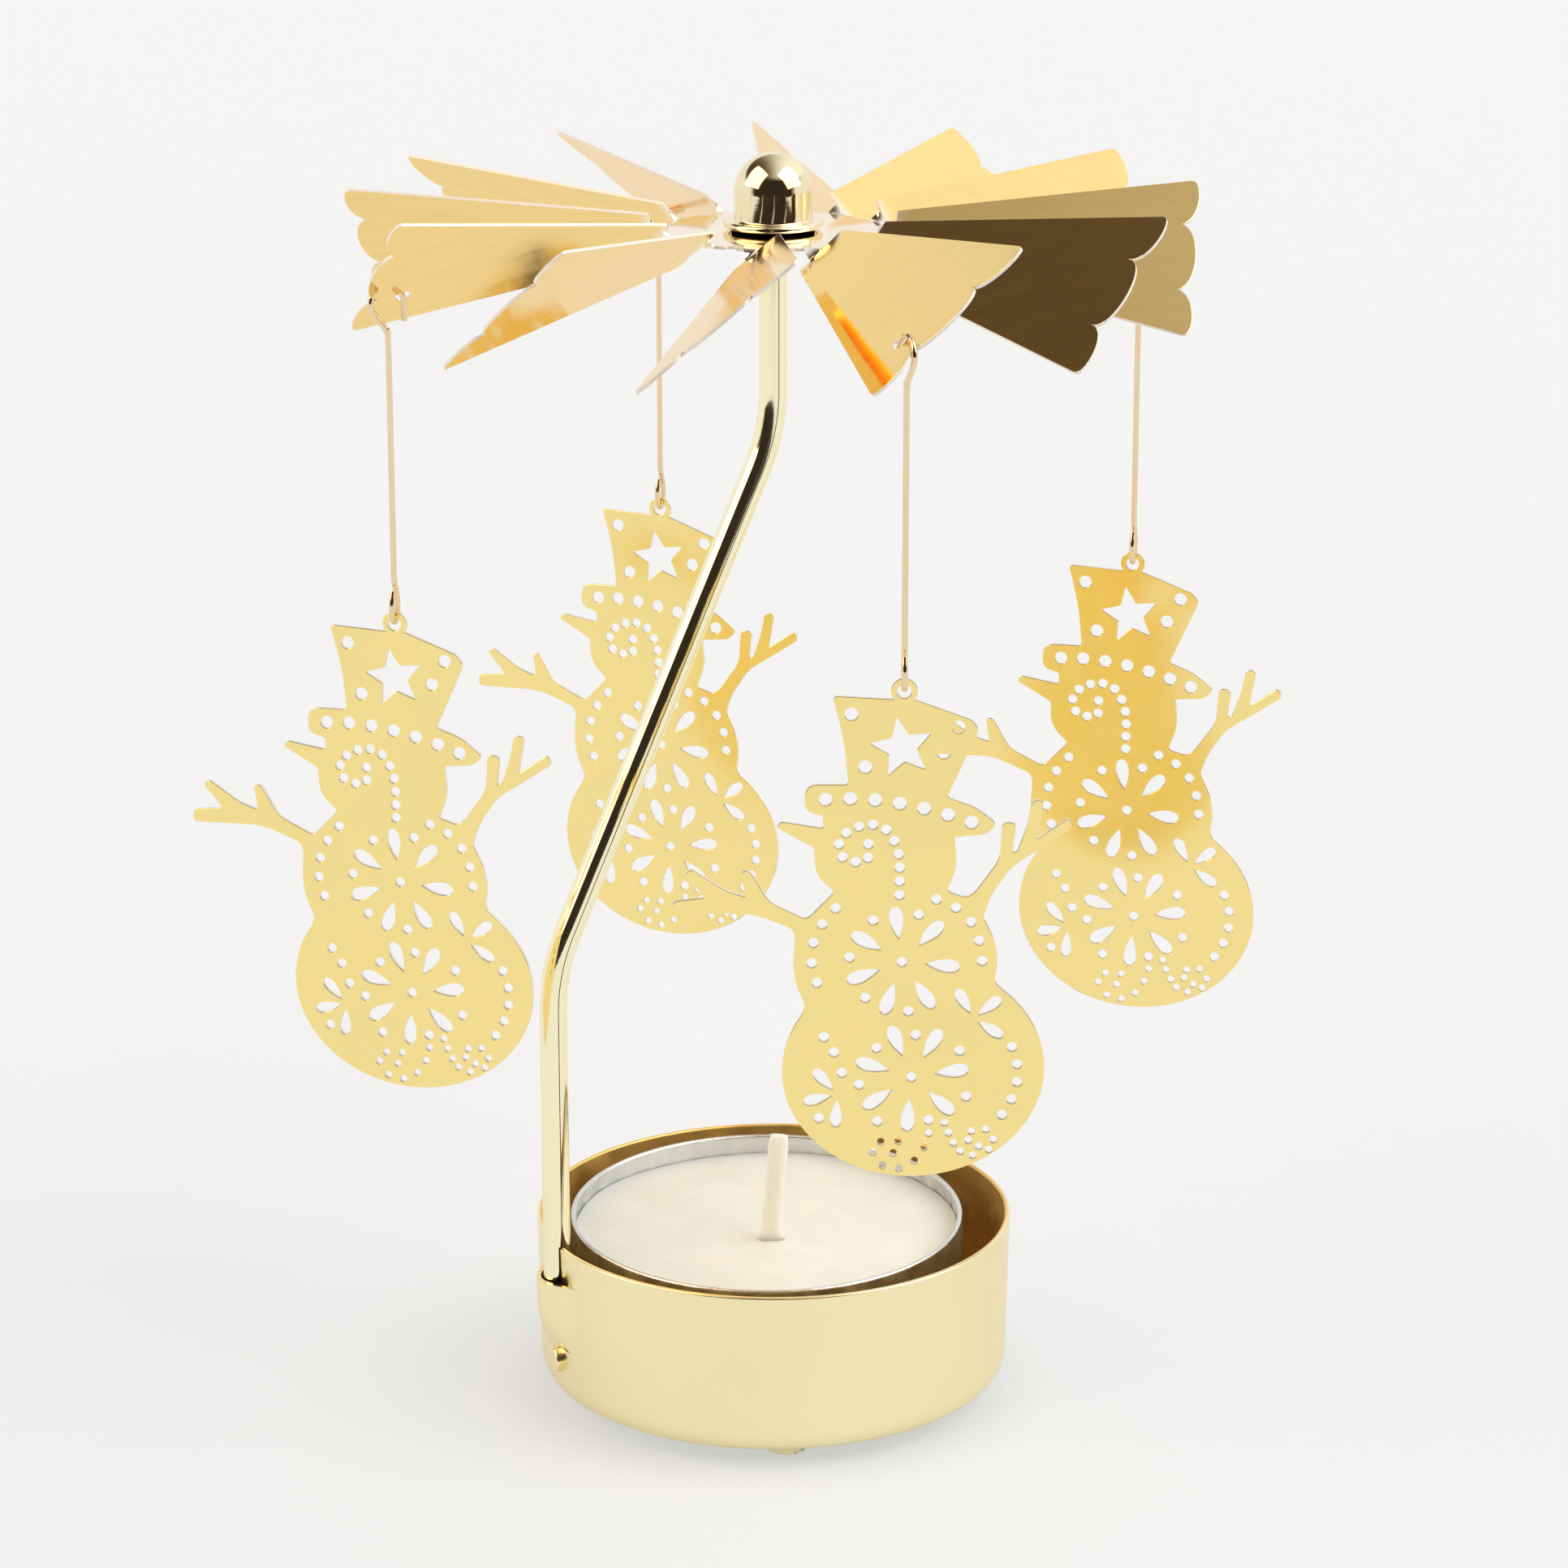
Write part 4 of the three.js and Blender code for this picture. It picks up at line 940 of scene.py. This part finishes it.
def snowman_part(sizes, sheet, side):
    """A snowman's sheet stood upright at its hinge and turned to face along the hinge's axis."""
    axis = AXES[f"figure_swing_{side}"]
    across = np.cross(axis, UP)
    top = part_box(f"snowman_{side}")[1].z
    ring = PLACES[f"figure_swing_{side}"] * [1, 1, 0] + (top - sizes.ring_radius) * UP

    def upright(points):
        return ring + points[:, :1] * across + points[:, 1:2] * UP - points[:, 2:] * axis

    return moved(sheet, upright)


# Shader fields

class Field:
    """A shader socket; arithmetic on it adds Math nodes."""

    def __init__(self, nodes, socket):
        self.nodes = nodes
        self.socket = socket

    def __add__(self, other):
        return self.nodes.math("ADD", self, other)

    def __sub__(self, other):
        return self.nodes.math("SUBTRACT", self, other)

    def __rsub__(self, other):
        return self.nodes.math("SUBTRACT", other, self)

    def __mul__(self, other):
        return self.nodes.math("MULTIPLY", self, other)

    def __truediv__(self, other):
        return self.nodes.math("DIVIDE", self, other)

    __radd__ = __add__
    __rmul__ = __mul__


class Nodes:
    """The node tree of a material or world."""

    def __init__(self, owner):
        owner.use_nodes = True
        self.tree = owner.node_tree
        self.tree.nodes.clear()

    def add(self, kind, settings, sockets, output=0):
        """One node: its settings, then the values or links of its sockets."""
        node = self.tree.nodes.new(kind)
        for name, value in settings.items():
            setattr(node, name, value)
        self.fill(node, sockets)
        return Field(self, node.outputs[output])

    def fill(self, node, sockets):
        """Sets or links sockets, by number, identifier or name."""
        for key, value in sockets.items():
            named = {socket.name: socket for socket in reversed(node.inputs)}
            named.update({socket.identifier: socket for socket in node.inputs if "_" in socket.identifier})
            socket = node.inputs[key] if isinstance(key, int) else named[key]
            if isinstance(value, Field):
                self.tree.links.new(value.socket, socket)
            else:
                socket.default_value = value

    def math(self, operation, *values):
        """A number made from numbers."""
        return self.add("ShaderNodeMath", {"operation": operation}, dict(enumerate(values)))

    def place(self, per_metre):
        """Object coordinates times per_metre, which may differ along X, Y and Z."""
        coordinates = self.add("ShaderNodeTexCoord", {}, {}, "Object")
        scale = np.broadcast_to(per_metre, 3)
        return self.add("ShaderNodeMapping", {}, {"Vector": coordinates, "Scale": scale})

    def from_axis(self):
        """Distance from the vertical axis in metres."""
        flat = self.place((1, 1, 0))
        return self.add("ShaderNodeVectorMath", {"operation": "LENGTH"}, {0: flat}, "Value")

    def noise(self, per_metre, detail=2.0, rough=0.5):
        """Cloudy noise from 0 to 1."""
        return self.add("ShaderNodeTexNoise", {}, {
            "Vector": self.place(per_metre), "Scale": 1.0, "Detail": detail, "Roughness": rough})

    def between(self, field, low, high, start=0.0, end=1.0):
        """start where the field is at or below low, end where it is at or above high, smooth between."""
        return self.add("ShaderNodeMapRange", {"interpolation_type": "SMOOTHSTEP"}, {
            "Value": field, "From Min": low, "From Max": high, "To Min": start, "To Max": end})

    def mix(self, factor, first, second):
        """A blend of two colours."""
        colour_output = 2
        return self.add("ShaderNodeMix", {"data_type": "RGBA"}, {
            "Factor_Float": factor, "A_Color": first, "B_Color": second}, colour_output)

    def cloudy(self, noise):
        """The noise with more contrast."""
        return self.between(noise, 0.3, 0.7)

    def toned(self, field, tone, darkest):
        """The tone, times darkest where the field is 0."""
        return self.mix(field, shade(tone, darkest), tone)

    def bump(self, height, metres):
        """A normal from a height of 0 to 1 times metres."""
        return self.add("ShaderNodeBump", {}, {"Height": height, "Distance": metres, "Strength": 1.0})


def material(name, build):
    """A material whose shader's sockets come from build(nodes)."""
    made = bpy.data.materials.new(name)
    nodes = Nodes(made)
    shader = nodes.add("ShaderNodeBsdfPrincipled", {}, build(nodes), "BSDF")
    nodes.fill(nodes.tree.nodes.new("ShaderNodeOutputMaterial"), {"Surface": shader})
    return made


def shade(rgba, factor):
    """A colour made lighter or darker."""
    return (*(min(value * factor, 1.0) for value in rgba[:3]), 1.0)


def marked_metal(name, tone, scale, darkest, roughness, relief,
                 detail=2.0, rough=0.5, metallic=1.0, glance=None):
    """A metal with marks of one cloudy noise, which change its tone and roughness and give it relief.

    The roughness is that of the darkest and of the brightest marks, and relief is a height in metres.
    """
    def build(nodes):
        marks = nodes.noise(scale, detail, rough)
        sockets = {
            "Base Color": nodes.toned(marks, tone, darkest),
            "Metallic": metallic,
            "Roughness": roughness[0] + marks * (roughness[1] - roughness[0]),
            "Normal": nodes.bump(marks, relief),
        }
        if glance is not None:
            sockets["Specular Tint"] = glance
        return sockets
    return material(name, build)


def tray_gold(colours):
    """Pale satin gold: a fine orange-peel grain and faint cloudy stains."""
    def build(nodes):
        cloud = nodes.noise(60, detail=3)
        grain = nodes.noise(2200)
        return {
            "Base Color": nodes.toned(nodes.cloudy(cloud), colours.tray, darkest=0.97),
            "Metallic": 1.0,
            "Roughness": nodes.between(cloud, 0.3, 0.7, start=0.2, end=0.23) + grain * 0.03,
            "Specular Tint": colours.glance,
            "Normal": nodes.bump(grain, 0.001 * MM),
        }
    return material("tray_gold", build)


def post_gold(colours):
    """Polished pale gold with faint drawing lines along the post."""
    return marked_metal(
        "post_gold", colours.post, scale=(1800, 1800, 60), darkest=0.96, roughness=(0.05, 0.11),
        relief=0.002 * MM, glance=colours.glance)


def tray_lining_reflection(colours):
    """The deeper gold inside the tray, a painted amber reflection of light between its gold walls, with soft
    stains.
    """
    def build(nodes):
        stain = nodes.between(nodes.noise(230, detail=4), 0.35, 0.7)
        dents = nodes.noise(160, detail=3)
        return {
            # The deeper gold here is a painted amber reflection inside the tray.
            "Base Color": nodes.toned(stain, colours.lining_reflection, darkest=0.85),
            "Metallic": 1.0,
            "Roughness": 0.42 + stain * 0.12,
            "Normal": nodes.bump(dents, 0.06 * MM),
        }
    return material("lining_gold", build)


def blade_gold(colours):
    """Mirror gold sheet: nearly flat, paler in the middle as a painted reflection of the pale wall at a low
    angle, with faint long waves and rolling streaks.
    """
    def build(nodes):
        wave = nodes.noise(45)
        streak = nodes.noise((90, 900, 300))
        rolled = nodes.toned(nodes.between(streak, 0.35, 0.7), colours.blade, darkest=0.97)
        # Within 10.5 mm of the axis the paler plate colour is used, blending into the blade gold by 12.5 mm:
        # a painted reflection of the pale wall on the flat plate.
        outer = nodes.between(nodes.from_axis(), 10.5 * MM, 12.5 * MM)
        return {
            "Base Color": nodes.mix(outer, colours.plate, rolled),
            "Metallic": 1.0,
            "Roughness": 0.05 + streak * 0.06,
            "Specular Tint": colours.glance,
            "Normal": nodes.bump(wave + streak * 0.02, 0.12 * MM),
        }
    return material("blade_gold", build)


def figure_gold(colours):
    """Bright gold of the pierced snowmen."""
    def build(nodes):
        wave = nodes.noise(70)
        grain = nodes.noise(1500)
        return {
            "Base Color": nodes.toned(nodes.cloudy(wave), colours.figure, darkest=0.97),
            "Metallic": 1.0,
            "Roughness": 0.1 + grain * 0.07,
            "Specular Tint": colours.glance,
            "Normal": nodes.bump(wave + grain * 0.01, 0.1 * MM),
        }
    return material("figure_gold", build)


def wire_gold(colours):
    """Drawn wire: fine lines along its length."""
    return marked_metal(
        "wire_gold", colours.wire, scale=(1500, 1500, 60), darkest=0.85, roughness=(0.05, 0.11),
        relief=0.002 * MM)


def cap_gold(colours):
    """Polished pale gold with a trace of turning marks."""
    return marked_metal(
        "cap_gold", colours.cap, scale=(300, 300, 6000), darkest=0.95, roughness=(0.05, 0.1),
        relief=0.0015 * MM)


def blade_cut(colours):
    """The propeller's sheared edges: bare and dull, so that they look white; the cut is real bare metal, the
    whiteness a painted highlight along the edges.
    """
    return marked_metal(
        "blade_cut", colours.cut, scale=3500, darkest=0.9, roughness=(0.28, 0.48),
        relief=0.01 * MM, detail=3, metallic=0.2)


def cut_edge(colours):
    """The snowmen's sheared edges: bare metal."""
    return marked_metal(
        "cut_edge", colours.cut, scale=3500, darkest=0.85, roughness=(0.28, 0.48),
        relief=0.01 * MM, detail=3)


def foil(colours):
    """Thin crinkled aluminium."""
    return marked_metal(
        "foil", colours.foil, scale=(420, 420, 160), darkest=0.88, roughness=(0.22, 0.42),
        relief=0.25 * MM, detail=4, rough=0.65)


def steel(colours):
    """Bare steel with drawing marks."""
    return marked_metal(
        "steel", colours.steel, scale=(3000, 3000, 500), darkest=0.8, roughness=(0.25, 0.4),
        relief=0.004 * MM)


def wax(colours):
    """Milky paraffin: soft clouds and a skin with shallow dimples."""
    def build(nodes):
        cloud = nodes.noise(140, detail=4)
        skin = nodes.noise(700, detail=3)
        return {
            "Base Color": nodes.toned(nodes.cloudy(cloud), colours.wax, darkest=0.95),
            "Roughness": 0.38 + skin * 0.2,
            "Subsurface Weight": 0.7,
            "Subsurface Radius": (3 * MM, 2.2 * MM, 1.4 * MM),
            "Subsurface Scale": 1.0,
            "Normal": nodes.bump(cloud + skin * 0.3, 0.25 * MM),
        }
    return material("candle_wax", build)


def cotton(colours):
    """Waxed cotton with fine fibres."""
    def build(nodes):
        fibre = nodes.noise((2600, 2600, 900), detail=3)
        return {
            "Base Color": nodes.toned(fibre, colours.cotton, darkest=0.93),
            "Roughness": 0.4 + fibre * 0.2,
            "Subsurface Weight": 1.0,
            "Subsurface Radius": (4 * MM, 3.5 * MM, 3 * MM),
            "Subsurface Scale": 1.0,
            "Normal": nodes.bump(fibre, 0.02 * MM),
        }
    return material("wick_cotton", build)


def paper(colours):
    """Matt pale studio paper that glows a little, less so round the tray's foot, where the weaker glow is a
    painted contact shadow.
    """
    def build(nodes):
        fleck = nodes.noise(300, detail=3)
        # The glow is 0.86 as strong within 20 mm of the axis and full beyond 30 mm: a painted contact shadow
        # round the tray's foot.
        outside_painted_shadow = nodes.between(nodes.from_axis(), 20 * MM, 30 * MM)
        return {
            "Base Color": nodes.mix(fleck, shade(colours.floor, 0.32), shade(colours.floor, 0.33)),
            "Roughness": 0.9,
            "Specular IOR Level": 0.1,
            "Emission Color": nodes.toned(outside_painted_shadow, colours.floor, darkest=0.86),
            "Emission Strength": 0.63,
        }
    return material("studio_paper", build)


# Stage, in metres, degrees and light strengths, with the lens in millimetres

CAMERA_PLACE = (1.0 * MM, -423.17 * MM, 184.67 * MM)
CAMERA_DIP = 16.57
CAMERA_LENS = 107.35
FLOOR_RADIUS = 4.0
FLOOR_FRONT = -0.62
WALL_LIGHT = 0.9
ROOM_LIGHT = 0.032
SOFTBOX_LIGHT = 2.6
BACKDROP_LIGHT = 0.89
DIM_TINT = (1.0, 0.76, 0.58, 1.0)
BRIGHT_TINT = (1.0, 1.0, 1.0, 1.0)


def softbox(nodes, along, side):
    """A square light in front, on the right for side 1 and on the left for -1.

    Seen from the middle, both shares across the square stay below a half.
    """
    middle = np.array([0.72 * side, -0.27, 0.64])
    across = np.cross(UP, middle)
    across /= np.linalg.norm(across)
    upward = np.cross(middle, across)
    depth = along(*middle)
    width, height = along(*across) / depth, along(*upward) / depth
    square = nodes.between(width * width, 0.25, 0.2) * nodes.between(height * height, 0.25, 0.2)
    return square * nodes.between(depth, 0.0, 0.1)


def studio_world():
    """A pale room, dark in front and warm and dark above on the left, with two softboxes in front."""
    world = bpy.data.worlds.new("studio")
    nodes = Nodes(world)
    direction = nodes.add("ShaderNodeTexCoord", {}, {}, "Generated")

    def along(x, y, z):
        """How far the direction goes along (x, y, z)."""
        dot = {"operation": "DOT_PRODUCT"}
        return nodes.add("ShaderNodeVectorMath", dot, {0: direction, 1: (x, y, z)}, "Value")

    # Each light begins where its direction reaches the first limit and is full at the second.
    wall = nodes.between(along(0, 0.3, -1), -0.42, -0.26) * nodes.between(along(0, 1, 0), -0.6, -0.3)
    from_left = nodes.between(along(1, 0.1, 0), -0.5, 0.62, start=0.05, end=1.06)
    ceiling = from_left * nodes.between(along(0, 0.35, 1), 0.35, 0.6)
    light = nodes.math("MAXIMUM", wall * WALL_LIGHT, ceiling) + ROOM_LIGHT
    boxes = softbox(nodes, along, -1) * SOFTBOX_LIGHT + softbox(nodes, along, 1) * SOFTBOX_LIGHT
    seen = nodes.add("ShaderNodeLightPath", {}, {}, "Is Camera Ray")
    strength = (light + boxes) * (1 - seen) + seen * BACKDROP_LIGHT
    white = nodes.math("MAXIMUM", seen, nodes.between(light, 0.1, 0.75))
    tint = nodes.mix(white, DIM_TINT, BRIGHT_TINT)
    background = nodes.add("ShaderNodeBackground", {}, {"Color": tint, "Strength": strength})
    nodes.fill(nodes.tree.nodes.new("ShaderNodeOutputWorld"), {"Surface": background})
    return world


# Operators

class HOLDER_OT_stand(Operator):
    """Add the pressed tray with its pocket, the rolled post and the finish of the pivot needle"""

    bl_idname = "candle_holder.stand"
    bl_label = "Tray and post"

    def execute(self, context):
        settings = context.scene.candle_holder
        sizes, colours = settings.stand, settings.colours
        tray = [tray_part(sizes), pocket_part(sizes), stud_part(sizes)]
        finishes = [tray_gold(colours), tray_lining_reflection(colours)]
        make_piece("tray_pressed", tray, finishes, "stand", "tray")
        make_piece("post_rolled", post_parts(sizes), [post_gold(colours)], "stand", "post")
        frame["nodes"]["pivot_needle"].material_slots[0].material = steel(colours)
        return {"FINISHED"}


class HOLDER_OT_tealight(Operator):
    """Add the foil cup, the wax and the wick, and the finish of the wick's foot"""

    bl_idname = "candle_holder.tealight"
    bl_label = "Tealight"

    def execute(self, context):
        settings = context.scene.candle_holder
        sizes, colours = settings.tealight, settings.colours
        cup, block, wick = cup_part(sizes), wax_part(sizes), wick_part(sizes)
        make_piece("cup_foil", [cup], [foil(colours)], "candle", "tealight_cup")
        make_piece("wax_block", [block], [wax(colours)], "candle", "wax")
        make_piece("wick_braid", [wick], [cotton(colours)], "candle", "wick")
        frame["nodes"]["wick_sustainer"].material_slots[0].material = steel(colours)
        return {"FINISHED"}


class HOLDER_OT_rotor(Operator):
    """Add the twisted propeller, its domed cap and its collar"""

    bl_idname = "candle_holder.rotor"
    bl_label = "Propeller and hub"

    def execute(self, context):
        settings = context.scene.candle_holder
        sizes, colours = settings.rotor, settings.colours
        finishes = [blade_gold(colours), blade_cut(colours)]
        blades = propeller_parts(sizes, settings.hangers)
        cap, collar = cap_part(sizes), collar_part(sizes)
        make_piece("propeller_sheet", blades, finishes, "rotor", "propeller", FLAT_CREASE)
        make_piece("hub_dome", [cap], [cap_gold(colours)], "rotor", "hub_cap")
        make_piece("hub_ring", [collar], [tray_gold(colours)], "rotor", "hub_collar")
        return {"FINISHED"}


class HOLDER_OT_wires(Operator):
    """Add the four hook wires"""

    bl_idname = "candle_holder.wires"
    bl_label = "Hook wires"

    def execute(self, context):
        settings = context.scene.candle_holder
        finish = wire_gold(settings.colours)
        for side in SIDES:
            part = wire_part(settings.hangers, side)
            make_piece(f"wire_{side}_drawn", [part], [finish], f"wire_{side}",
                       f"hook_wire_{side}")
        return {"FINISHED"}


class HOLDER_OT_snowmen(Operator):
    """Add the four pierced snowmen"""

    bl_idname = "candle_holder.snowmen"
    bl_label = "Snowmen"

    def execute(self, context):
        settings = context.scene.candle_holder
        sizes = settings.hangers
        finishes = [figure_gold(settings.colours), cut_edge(settings.colours)]
        sheet = snowman_sheet(sizes)
        for side in SIDES:
            part = snowman_part(sizes, sheet, side)
            make_piece(f"snowman_{side}_pierced", [part], finishes, f"figure_{side}",
                       f"snowman_{side}", FLAT_CREASE)
        return {"FINISHED"}


class HOLDER_OT_stage(Operator):
    """Add the floor, the studio light and the camera"""

    bl_idname = "candle_holder.stage"
    bl_label = "Studio"

    def execute(self, context):
        scene = context.scene
        floor = bpy.data.objects.new("floor", bpy.data.meshes.new("floor"))
        height = CAD_BOX[0][2]
        rim = [(x, max(y, FLOOR_FRONT), height) for x, y in circle(0, 0, FLOOR_RADIUS, 96)]
        floor.data.from_pydata(rim, [], [tuple(range(len(rim)))])
        floor.data.materials.append(paper(scene.candle_holder.colours))
        scene.collection.objects.link(floor)
        scene.world = studio_world()
        scene.view_settings.view_transform = "Standard"
        lens = bpy.data.cameras.new("camera")
        lens.lens = CAMERA_LENS
        camera = bpy.data.objects.new("camera", lens)
        camera.location = CAMERA_PLACE
        camera.rotation_euler = (np.radians(90 - CAMERA_DIP), 0, 0)
        scene.collection.objects.link(camera)
        scene.camera = camera
        return {"FINISHED"}


class HOLDER_PT_panel(Panel):
    """Buttons and sizes of the candle holder"""

    bl_idname = "HOLDER_PT_panel"
    bl_label = "Candle holder"
    bl_space_type = "VIEW_3D"
    bl_region_type = "UI"
    bl_category = "Candle holder"

    def draw(self, context):
        settings = context.scene.candle_holder
        groups = (
            (settings.stand, [HOLDER_OT_stand]),
            (settings.tealight, [HOLDER_OT_tealight]),
            (settings.rotor, [HOLDER_OT_rotor]),
            (settings.hangers, [HOLDER_OT_wires, HOLDER_OT_snowmen]),
            (settings.colours, [HOLDER_OT_stage]),
        )
        for group, operators in groups:
            box = self.layout.box()
            for operator in operators:
                box.operator(operator.bl_idname)
            for name in group.__annotations__:
                box.prop(group, name)


CLASSES = (
    StandSizes, TealightSizes, RotorSizes, HangerSizes, Colours, HolderSettings,
    HOLDER_OT_stand, HOLDER_OT_tealight, HOLDER_OT_rotor, HOLDER_OT_wires, HOLDER_OT_snowmen,
    HOLDER_OT_stage, HOLDER_PT_panel,
)


def register():
    """Registers the classes and the scene's settings."""
    for item in CLASSES:
        bpy.utils.register_class(item)
    bpy.types.Scene.candle_holder = PointerProperty(type=HolderSettings)


def unregister():
    """Undoes register."""
    del bpy.types.Scene.candle_holder
    for item in reversed(CLASSES):
        bpy.utils.unregister_class(item)


def main():
    """Makes the holder and its studio."""
    register()
    bpy.ops.candle_holder.stand()
    bpy.ops.candle_holder.tealight()
    bpy.ops.candle_holder.rotor()
    bpy.ops.candle_holder.wires()
    bpy.ops.candle_holder.snowmen()
    bpy.ops.candle_holder.stage()


if __name__ == "__main__":
    main()
